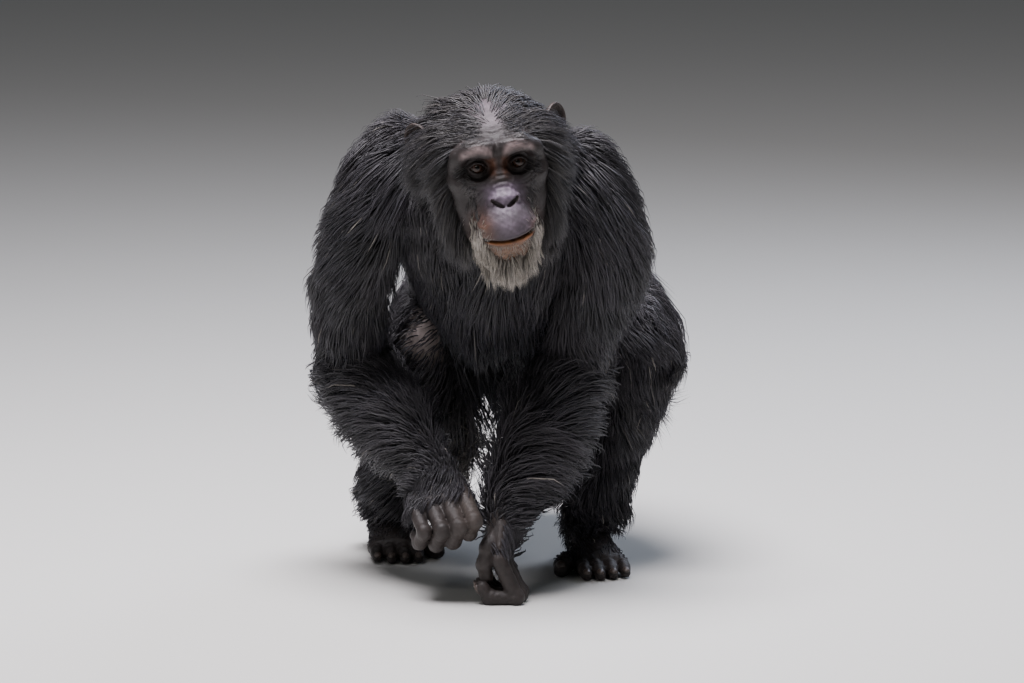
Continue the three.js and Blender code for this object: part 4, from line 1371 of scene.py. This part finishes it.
def below(limb, p, t):
    """1 on the under side of a limb, away from its upper end."""
    middle = BONES[limb].at(BONES[limb].centre, np.clip(t, 0, 1))
    return ease(middle[:, 2] - p[:, 2], 15, 45) * ease(t, 0.25, 0.45)


def off_knee(p, t, reach=60):
    """0 on the bare right knee and 1 away from it."""
    return 1 - 0.95 * bell(np.linalg.norm(p - RIGHT_KNEE, axis=1), 0, reach)


def on_back_of_hand(side):
    """Hair grows on the back of the hand up to the knuckles, not on the palm or the digits."""
    wrist = np.array(KNUCKLES[side]["wrist"], float)
    row = (np.array(KNUCKLES[side]["index"], float) + KNUCKLES[side]["little"]) / 2
    back = unit(np.array(BACK_OF_HAND[side], float))

    def weight(p, t):
        reach = ((p - wrist) @ (row - wrist)) / ((row - wrist) @ (row - wrist))
        facing = (ground_normals @ back) if len(p) == len(ground_points) else 1
        return ease(reach, -0.3, 0.1) * ease(reach, 1.02, 0.7) * ease(facing, -0.1, 0.35)
    return weight


def on_instep(side):
    """Hair grows on the top of the foot up to the toes, not on the sole."""
    heel, ball = (np.array(FEET[side][k], float) for k in ("heel", "ball"))

    def weight(p, t):
        reach = ((p[:, :2] - heel) @ (ball - heel)) / ((ball - heel) @ (ball - heel))
        up = ground_normals[:, 2] if len(p) == len(ground_points) else 1
        return ease(p[:, 2], 14, 26) * ease(reach, 1.05, 0.8) * ease(p[:, 2], 84, 70) * ease(up, -0.5, 0.0)
    return weight


print("bare knee at", RIGHT_KNEE)

# %% [markdown]
# ## Coat of the arms
# It runs down the upper arm to the elbow and up the forearm towards it, so both meet there in a
# fringe, as in all apes. That is done by giving the forearm's hair a way that goes against its bone.

# %% Coat of the arms
def arm_coats(side, sign):
    fore = f"forearm_{side}"
    fuller = 0.4 * (side == "left")

    def fore_height(p, t):
        return (10 + 14 * ease(t, 1.1, 0.85)) * (1.0 + fuller * bell(t, 0.75, 0.3))

    limb_coat(f"coat_upper_arm_{side}", f"upper_arm_{side}", 6600,
              lambda p, t: 54 + 26 * ease(t, 0.5, 1), 2.0, toward(1, (0.45 * sign, 0.3, 0)),
              lambda p, t: 15 + 7 * ease(t, 0.6, 1), droop=0.08)
    limb_coat(f"coat_{fore}", fore, 5600, lambda p, t: 34 + 32 * ease(t, 1.05, 0.7), 2.0,
              toward(-0.5, (0.75 * sign, 0.45, -0.2)), fore_height, lambda p, t: ease(t, 1.2, 1.04),
              droop=0.16)
    limb_coat(f"coat_hand_{side}", fore, 1500, lambda p, t: 22 + 12 * ease(t, 1.25, 1.0), 1.4,
              toward(0.5, (0.5 * sign, 0.2, -0.5)), steady(7), on_back_of_hand(side), pull=0.2, droop=0.05,
              short=True)

# %% [markdown]
# ## Coat of the legs
# On the bent knees the hair turns outwards, on the shin it falls, and from the under side of each
# thigh hangs a long fringe. The right shin's inner side carries the longest hair, and a pale tuft.

# %% Coat of the legs
SHIN_LONGER = {"left": 8, "right": 36}
SHIN_HIGHER = {"left": 6, "right": 42}


def leg_coats(side, sign):
    thigh, shin = f"thigh_{side}", f"shin_{side}"
    bare_knee = side == "right"

    def thigh_length(p, t):
        thin = 0.35 + 0.65 * off_knee(p, t, 120) if bare_knee else 1
        return (52 + 18 * ease(t, 0.5, 1) + 24 * inner(thigh, p, t)) * thin

    def shin_length(p, t):
        return 52 - 24 * ease(t, 0.75, 1) + SHIN_LONGER[side] * inner(shin, p, t) * ease(t, 1, 0.7)

    def shin_height(p, t):
        return 12 + 13 * ease(t, 0.4, 0.9) + SHIN_HIGHER[side] * inner(shin, p, t) * ease(t, 1, 0.7)

    def shin_weight(p, t):
        return (off_knee(p, t) if bare_knee else 1) * ease(p[:, 2], 44, 62)

    limb_coat(f"coat_{thigh}", thigh, 5000, thigh_length, 1.9, toward(0.35, (0.9 * sign, 0.1, -0.35)),
              lambda p, t: 17 + 18 * inner(thigh, p, t), off_knee if bare_knee else None, droop=0.3)
    limb_coat(f"coat_{shin}", shin, 5200, shin_length, 1.9, toward(1, (0.5 * sign, 0.2, -0.2)), shin_height,
              shin_weight, droop=0.05)
    limb_coat(f"coat_foot_{side}", shin, 900, steady(19), 1.5, toward(0, (0.3 * sign, -1, -0.3)), steady(4),
              on_instep(side), pull=0.2, droop=0.1, short=True)
    limb_coat(f"coat_fringe_{side}", thigh, 1700, steady(112), 2.7, toward(0.2, (-0.35 * sign, 0, -1)),
              steady(18), lambda p, t: below(thigh, p, t), droop=0.55)


for side, sign in (("left", 1), ("right", -1)):
    arm_coats(side, sign)
    leg_coats(side, sign)
limb_coat("coat_pale", "shin_right", 700, steady(72), 1.8, toward(0.5, (1, -0.3, -0.2)), steady(62),
          lambda p, t: inner("shin_right", p, t) * bell(t, 0.5, 0.16), grey=1, droop=0.25)

# %% [markdown]
# ## Hair of the head
# The head is round, so its hair is led over it and not along a bone: each step of a lock goes on its
# way, and is then held over the skull, found by marching in towards its middle. Cling says how
# closely, from whiskers that stand free to a crown that lies flat.

# %% Hair over the skull
HEAD_CENTRE = np.array([0.0, 30, 4])
OUTSIDE_HEAD = 190.0
MARCH = 26
LONG_HEAD_HAIR = 12


def skin_radius(ways):
    """How far the skin is from the middle of the head in each direction."""
    r = np.full(len(ways), OUTSIDE_HEAD)
    for _ in range(MARCH):
        p = HEAD_CENTRE + ways * r[:, None]
        r = r - np.clip(skull(*p.T) * 0.8, -8, 12)
    return r


def head_coat(name, points, faces, weight, count, lie, length, width, height, cling, grey, pull=0.4,
              rough=0.2, spread=0.05):
    """Locks on the head, all in its own frame; cling is how closely they follow the skull."""
    roots, normals = scatter(points, faces, weight + 1e-9, count)
    unruly = rough * np.stack([ripple(roots, 30, s) for s in (41, 42, 43)], 1)
    way = lie(roots) + unruly + rng.normal(0, 0.06, (count, 3))
    cling = (cling(roots) if callable(cling) else np.full(count, float(cling)))[:, None]
    way = unit(way - (0.3 + 0.7 * cling) * np.minimum((way * normals).sum(1, keepdims=True), 1) * normals)
    long = length(roots) * (1 + 0.2 * ripple(roots, 24, 44) + rng.normal(0, 0.14, count)).clip(0.4, 1.6)
    rise = height(roots) * (1 + 0.3 * rng.normal(0, 1, count)).clip(0.3, 2)
    stations = 3 if long.mean() > LONG_HEAD_HAIR else 2
    path = [roots - normals * 1.0]
    at = roots
    before = 0
    for s in STATIONS[stations][1:]:
        step = (s - before)[..., None] * long[:, None]
        out = unit(at - HEAD_CENTRE)
        flat = unit(way - cling * (1 - (1 - cling) * s) * (way * out).sum(1, keepdims=True) * out)
        free = at + flat * step
        around = unit(free - HEAD_CENTRE)
        held = HEAD_CENTRE + around * (skin_radius(around) + rise * (1 - (1 - s) ** 1.7))[:, None]
        inside = ((free - HEAD_CENTRE) ** 2).sum(1) < ((held - HEAD_CENTRE) ** 2).sum(1)
        share = np.where(inside[:, None], 1, cling)
        at = free * (1 - share) + held * share
        path.append(at)
        before = s
    paths = gather(np.stack(path, 1), pull, 9)
    out = unit(roots - HEAD_CENTRE)
    turn = np.arctan2(out[:, 0], -out[:, 2]) / (2 * math.pi) + 0.5
    chart = np.stack([turn, np.arccos(np.clip(-out[:, 1], -1, 1)) / math.pi], 1)
    world = from_head(paths.reshape(-1, 3)).reshape(paths.shape)
    widths = width * rng.uniform(0.7, 1.3, count)
    # Hair higher on the head is painted lighter, as painted light from above; the rest of the tone differs
    # at random.
    tone_and_top_light = 0.15 + 0.15 * ripple(roots, 30, 45) + 0.4 * ease(roots[:, 2], 0, 60) + rng.normal(0, 0.12, count)
    faded = np.clip(grey(roots) + rng.normal(0, spread, count), 0, 1)
    locks_mesh(name, world, normals @ HEAD.T, widths, chart, dict(tone_and_top_light=np.clip(tone_and_top_light, 0, 1), grey=faded))
    print(name, count, "locks", round(float(long.mean())), "mm")

# %% [markdown]
# ## Crown, nape and whiskers
# The forehead is nearly bald. Thin hair on the crown parts to both sides, and long whiskers hang from
# the temples past the jaw. The comb blends three ways, for crown, temple and cheek, by height.

# %% Crown, nape and whiskers
def bare_mask(q):
    """1 where the face is bare skin, 0 where hair grows."""
    x, y, z = np.abs(q[:, 0]), q[:, 1], q[:, 2]
    wide = 43 + 5 * bell(z, 12, 22) - 6 * ease(z, -40, -80) + 1.5 * ripple(q, 12, 48)
    high = np.maximum(ease(z, 60, 44), bell(x, 0, 13) * 0.95)
    front = np.maximum(ease(y, 44, 26), bell(x, 0, 13) * 0.9 * ease(z, 40, 60))
    return ease(x, wide + 6, wide - 9) * front * high


def flank(q):
    """1 on the sides of the head, from the temples past the ears to the jaw."""
    return ease(np.abs(q[:, 0]), 34, 54) * ease(q[:, 2], 68, 44)


def comb(q):
    """Which way the hair of the head points."""
    x, z = q[:, 0], q[:, 2]
    s = np.sign(x)
    top = ease(z, 40, 66)[:, None]
    low = ease(z, 0, -50)[:, None]
    crown = np.stack([0.75 * ease(np.abs(x), 0, 30) * s, 0.75 * np.ones(len(q)), -0.1 * np.ones(len(q))], 1)
    temple = np.stack([0.95 * s, 0.35 + 0 * x, -0.55 + 0.4 * ease(z, 20, 55)], 1)
    cheek = np.stack([0.35 * s, 0.1 + 0 * x, -1 + 0 * x], 1)
    return unit(crown * top + (temple * (1 - low) + cheek * low) * (1 - top))


def crown_length(q):
    return 18 + 24 * ease(q[:, 1], 10, 60) + 36 * flank(q)


def nape_height(q):
    tuft = bell(q[:, 0], -38, 17) * ease(q[:, 1], 60, 90)
    return 9 + 9 * ease(q[:, 1], 40, 90) + 16 * flank(q) + 14 * tuft


def close_to_skull(q):
    return 0.8 - 0.6 * flank(q)


def whisker_grey(q):
    return 0.03 * bell(q[:, 1], 18, 9) + 0.05 * ease(q[:, 2], 30, 60) + 0.05 * ease(q[:, 2], -70, -95)


def nape_weight(q):
    parting = bell(q[:, 0], 0, 13) * ease(q[:, 1], 88, 68)
    return on_head * ease(q[:, 1], 20, 30) * (1 - 0.85 * parting)


def whisker_weight(q):
    thinner = 0.2 + 0.8 * ease(q[:, 2], 70, 40)
    return (1 - bare_mask(q)) * ease(q[:, 1], 4, 24) * thinner * ease(q[:, 2], -122, -100)


def down_weight(q):
    """Short thin hair on the sides of the forehead and low on the cheeks."""
    x, z = np.abs(q[:, 0]), q[:, 2]
    return bare_mask(q) * (bell(z, 58, 14) * ease(x, 4, 26) + 0.3 * ease(x, 26, 40) * ease(z, 20, 0))


head_coat("coat_nape", body_in_head, body_faces, nape_weight(body_in_head), 6800, comb, crown_length, 1.6,
          nape_height, close_to_skull, lambda q: 0.05 * ease(q[:, 2], 40, 66), spread=0.03)
head_coat("coat_whiskers", face_points, face_faces, whisker_weight(face_points), 7600, comb, crown_length,
          1.25, lambda q: 5 + 18 * flank(q), close_to_skull, whisker_grey, spread=0.03)
head_coat("coat_down", face_points, face_faces, down_weight(face_points), 1500, comb, steady(11), 0.7,
          steady(2.5), 0.9, steady(0.04))

# %% [markdown]
# ## Beard
# The beard is short, white and stiff, and rings the chin from one corner of the mouth to the other.
# Its locks hang free of the skin, and stubble fills the chin between them and the lips.

# %% Beard
def beard_weight(q):
    x, y, z = np.abs(q[:, 0]), q[:, 1], q[:, 2]
    edge = z - (-116 + 32 * ease(x, 18, 40))
    corner = bell(x, 42, 4) * bell(z, -80, 16) * ease(y, 14, 4)
    return ease(edge, 9, -8) * ease(y, 22, 8) * ease(x, 48, 38) + 0.35 * corner


def stubble_weight(q):
    x, y, z = np.abs(q[:, 0]), q[:, 1], q[:, 2]
    chin = ease(z, -88, -98) * ease(y, 10, -10) * (1 - beard_weight(q)).clip(0, 1)
    return chin + 0.5 * bell(x, 32, 8) * bell(z, -74, 14)


def beard_lie(q):
    return unit(np.stack([0.003 * q[:, 0], -0.3 + 0.006 * (q[:, 1] + 10), -1 + 0 * q[:, 2]], 1))


def stubble_lie(q):
    return unit(np.stack([0.02 * q[:, 0], 0 * q[:, 1], -1 + 0 * q[:, 2]], 1))


head_coat("coat_beard", face_points, face_faces, beard_weight(face_points), 2300, beard_lie,
          lambda q: 13 + 23 * ease(q[:, 2], -92, -122), 1.1, steady(6), 0.0,
          lambda q: 0.68 + 0.14 * ripple(q, 9, 47), pull=0.6, rough=0.35, spread=0.2)
head_coat("coat_stubble", face_points, face_faces, stubble_weight(face_points), 600, stubble_lie,
          steady(6), 0.45, steady(2.5), 0.3, steady(0.6), pull=0.1)

# %% [markdown]
# ## Materials
# Each look is made from what the real surface is. One small function adds any node with its settings
# and links, so that a material reads as a list of what it is made of. A pattern's scale comes from
# the real size of one of its features.

# %% Nodes
def material(name):
    made = bpy.data.materials.new(name)
    made.use_nodes = True
    made.node_tree.nodes.clear()
    return made


def node(tree, kind, settings=None, inputs=None):
    """Add one node with its settings, its constants and the sockets that feed it."""
    made = tree.nodes.new(kind)
    for key, value in (settings or {}).items():
        setattr(made, key, value)
    for key, value in (inputs or {}).items():
        socket = made.inputs[key]
        if isinstance(value, bpy.types.NodeSocket):
            tree.links.new(value, socket)
        else:
            socket.default_value = value
    return made


def rgba(code):
    return (*linear(code), 1)


def scale_for(size):
    """The scale of a pattern whose features are this many millimetres across."""
    return float(round(1 / (size * MM)))


def finish_material(made, shader):
    tree = made.node_tree
    node(tree, "ShaderNodeOutputMaterial", inputs={"Surface": shader.outputs[0]})


print("features of 4 mm need scale", scale_for(4))

# %% [markdown]
# ## Bare skin
# The skin of an old ape is like matt leather: finely cracked, mottled, and a little greasy in
# patches, so it shines unevenly. Its colour comes from the points, the cracks from cells whose edges
# are pressed in by a bump. Skin has an IOR of about 1.4.

# %% Bare skin
def leather_skin():
    made = material("bare_skin")
    tree = made.node_tree
    place = node(tree, "ShaderNodeTexCoord").outputs["Object"]
    tint = node(tree, "ShaderNodeAttribute", {"attribute_name": "tint"}).outputs["Color"]
    # Cells of cracked skin 2.2 mm across: real ones are half that, too fine for this distance.
    cells = node(tree, "ShaderNodeTexVoronoi", {"feature": "DISTANCE_TO_EDGE"}, {
        "Vector": place, "Scale": scale_for(2.222)})
    mottle = node(tree, "ShaderNodeTexNoise", inputs={
        "Vector": place, "Scale": scale_for(7.69), "Detail": 5.0, "Roughness": 0.6})
    broad = node(tree, "ShaderNodeTexNoise", inputs={
        "Vector": place, "Scale": scale_for(29.4), "Detail": 3.0})
    depth = node(tree, "ShaderNodeMapRange", inputs={"Value": cells.outputs["Distance"], "From Max": 0.18})
    shade = node(tree, "ShaderNodeMapRange", inputs={
        "Value": mottle.outputs["Fac"], "From Min": 0.3, "From Max": 0.7, "To Min": 0.78, "To Max": 1.2})
    colour = node(tree, "ShaderNodeVectorMath", {"operation": "SCALE"}, {
        0: tint, "Scale": shade.outputs["Result"]})
    gloss = node(tree, "ShaderNodeMapRange", inputs={
        "Value": broad.outputs["Fac"], "To Min": 0.42, "To Max": 0.66})
    low = node(tree, "ShaderNodeBump", inputs={
        "Height": depth.outputs["Result"], "Strength": 0.35, "Distance": 0.0004})
    high = node(tree, "ShaderNodeBump", inputs={
        "Height": mottle.outputs["Fac"], "Strength": 0.5, "Distance": 0.0012,
        "Normal": low.outputs["Normal"]})
    shader = node(tree, "ShaderNodeBsdfPrincipled", inputs={
        "Base Color": colour.outputs["Vector"], "Roughness": gloss.outputs["Result"], "IOR": 1.42,
        "Normal": high.outputs["Normal"]})
    finish_material(made, shader)
    return made


skin.data.materials.append(leather_skin())
print("look of the skin", skin.data.materials[0].name)

# %% [markdown]
# ## Guard hair
# Black hair is keratin, with an IOR of about 1.55, smooth but scaly, so light slides along it in a
# soft, cool sheen. Locks differ a little in tone at random, and painted light from above makes those that
# face up, and those high on the head, lighter; locks fade towards their tips, and some are grey.

# %% Guard hair
def guard_hair():
    made = material("guard_hair")
    tree = made.node_tree
    tone_and_top_light = node(tree, "ShaderNodeAttribute", {"attribute_name": "tone_and_top_light"}).outputs["Fac"]
    grey = node(tree, "ShaderNodeAttribute", {"attribute_name": "grey"}).outputs["Fac"]
    along = node(tree, "ShaderNodeAttribute", {"attribute_name": "along"}).outputs["Fac"]
    # The tone attribute mixes random tone with painted light from above: locks facing up, and those high on
    # the head, are lighter.
    dark = node(tree, "ShaderNodeMix", {"data_type": "RGBA"}, {
        "Factor": tone_and_top_light, "A": rgba("#0d0c0e"), "B": rgba("#2f2b30")})
    faded = node(tree, "ShaderNodeMapRange", inputs={"Value": along, "To Min": 0.7, "To Max": 1.25})
    black = node(tree, "ShaderNodeVectorMath", {"operation": "SCALE"}, {
        0: dark.outputs["Result"], "Scale": faded.outputs["Result"]})
    colour = node(tree, "ShaderNodeMix", {"data_type": "RGBA"}, {
        "Factor": grey, "A": black.outputs["Vector"], "B": rgba("#b9b1a6")})
    gloss = node(tree, "ShaderNodeMapRange", inputs={"Value": tone_and_top_light, "To Min": 0.5, "To Max": 0.64})
    shader = node(tree, "ShaderNodeBsdfPrincipled", inputs={
        "Base Color": colour.outputs["Result"], "Roughness": gloss.outputs["Result"], "IOR": 1.55,
        "Sheen Weight": 0.07, "Sheen Roughness": 0.45, "Sheen Tint": rgba("#b3b6cc")})
    finish_material(made, shader)
    return made


hair = guard_hair()
for coat in coats:
    coat.data.materials.append(hair)
print("coat pieces", len(coats))

# %% [markdown]
# ## Wet eye
# The eye is wet, so a clear coat with the IOR of water and tear film, about 1.38, lies over a matt
# ball. From the line of sight outwards its colour runs from the black pupil over the brown iris and
# its dark rim to the brown of the white.

# %% Wet eye
IRIS = (
    (0.0, "#040302"), (0.13, "#040302"), (0.155, "#241610"), (0.28, "#33211a"), (0.36, "#241610"),
    (0.42, "#120a07"), (0.52, "#2c1f19"), (1.0, "#4a3a31"),
)


def wet_eye():
    made = material("wet_eye")
    tree = made.node_tree
    angle = node(tree, "ShaderNodeAttribute", {"attribute_name": "off_axis"}).outputs["Fac"]
    spoke = node(tree, "ShaderNodeAttribute", {"attribute_name": "spoke"}).outputs["Fac"]
    bend = node(tree, "ShaderNodeMath", {"operation": "MULTIPLY_ADD"}, {0: spoke, 1: 1.6, 2: angle})
    share = node(tree, "ShaderNodeMapRange", inputs={"Value": bend.outputs["Value"], "From Max": 90.0})
    ramp = node(tree, "ShaderNodeValToRGB", inputs={"Fac": share.outputs["Result"]})
    stops = ramp.color_ramp.elements
    for place, _ in IRIS[2:]:
        stops.new(place)
    for stop, (place, code) in zip(stops, IRIS):
        stop.position = place
        stop.color = rgba(code)
    shader = node(tree, "ShaderNodeBsdfPrincipled", inputs={
        "Base Color": ramp.outputs["Color"], "Roughness": 0.5, "Specular IOR Level": 0.0, "IOR": 1.38,
        "Coat Weight": 1.0, "Coat IOR": 1.38, "Coat Roughness": 0.02})
    finish_material(made, shader)
    return made


eye_look = wet_eye()
for eye in eyes:
    eye.data.materials.append(eye_look)
print("stops of the iris", len(IRIS))

# %% [markdown]
# ## Horn of the nails
# Nails are horn, keratin again with an IOR of about 1.54, worn to a dull gloss and streaked with dirt.
# The grain of 4 mm both mottles them and dents them a little.

# %% Horn of the nails
def nail_horn():
    made = material("nail_horn")
    tree = made.node_tree
    place = node(tree, "ShaderNodeTexCoord").outputs["Object"]
    grain = node(tree, "ShaderNodeTexNoise", inputs={
        "Vector": place, "Scale": scale_for(3.85), "Detail": 3.0})
    colour = node(tree, "ShaderNodeMix", {"data_type": "RGBA"}, {
        "Factor": grain.outputs["Fac"], "A": rgba("#2a2422"), "B": rgba("#5d5049")})
    dent = node(tree, "ShaderNodeBump", inputs={
        "Height": grain.outputs["Fac"], "Strength": 0.3, "Distance": 0.0004})
    shader = node(tree, "ShaderNodeBsdfPrincipled", inputs={
        "Base Color": colour.outputs["Result"], "Roughness": 0.38, "IOR": 1.54,
        "Normal": dent.outputs["Normal"]})
    finish_material(made, shader)
    return made


nails.data.materials.append(nail_horn())
print("look of the nails", nails.data.materials[0].name)

# %% [markdown]
# ## Floor and light
# A plain pale floor, which is only a stage, and soft studio light. Black hair swallows light from the
# front, so most of it comes from a broad lamp above, a cool one behind draws the sheen out of the
# coat, and weak ones in front put a spark into the eyes.

# %% Floor and light
floor_mesh = bpy.data.meshes.new("floor")
floor_mesh.from_pydata([(-6, -6, 0), (6, -6, 0), (6, 9, 0), (-6, 9, 0)], [], [(0, 1, 2, 3)])
floor = bpy.data.objects.new("floor", floor_mesh)
bpy.context.scene.collection.objects.link(floor)
ground = material("pale_floor")
finish_material(ground, node(ground.node_tree, "ShaderNodeBsdfPrincipled", inputs={
    "Base Color": rgba("#c9c8c4"), "Roughness": 0.85}))
floor_mesh.materials.append(ground)


def lamp(name, place, aim, size, power, code):
    """A round soft lamp at a place, turned to its aim; sizes in metres, power in watts."""
    data = bpy.data.lights.new(name, "AREA")
    data.shape = "DISK"
    data.size = size
    data.energy = power
    data.color = linear(code)
    made = bpy.data.objects.new(name, data)
    made.location = place
    made.rotation_euler = (Vector(aim) - Vector(place)).to_track_quat("-Z", "Y").to_euler()
    bpy.context.scene.collection.objects.link(made)


lamp("above", (-0.35, -0.6, 3.4), (0, 0.05, 0.4), 2.2, 360, "#fdf9ff")
lamp("front", (-1.0, -3.1, 1.9), (0, -0.4, 0.55), 0.35, 10, "#fffaf4")
lamp("fill", (-3.0, -2.2, 1.2), (0, 0, 0.4), 2.4, 5, "#eef3ff")
lamp("behind", (1.6, 2.4, 2.6), (0, 0, 0.45), 1.8, 70, "#dfe9ff")
world = bpy.data.worlds.new("studio")
world.use_nodes = True
world.node_tree.nodes["Background"].inputs["Color"].default_value = rgba("#dfe5ea")
world.node_tree.nodes["Background"].inputs["Strength"].default_value = 0.11
bpy.context.scene.world = world
print("lamps", len(bpy.data.lights))

# %% [markdown]
# ## Which piece stands for which solid
# One skin replaces every node of flesh. The eyeballs replace the eyes, and the coat and the nails
# are fused to the skin on the real animal, so they ride with it.

# %% Pieces and slots
flesh = [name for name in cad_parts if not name.startswith("eye_")]
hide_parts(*flesh)
for side, eye in zip(("left", "right"), eyes):
    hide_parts(f"eye_{side}")
pieces = [skin, nails, *eyes, *coats]
for piece in pieces:
    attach(piece, "root")
print("triangles", sum(len(piece.data.loops) - 2 * len(piece.data.polygons) for piece in pieces))
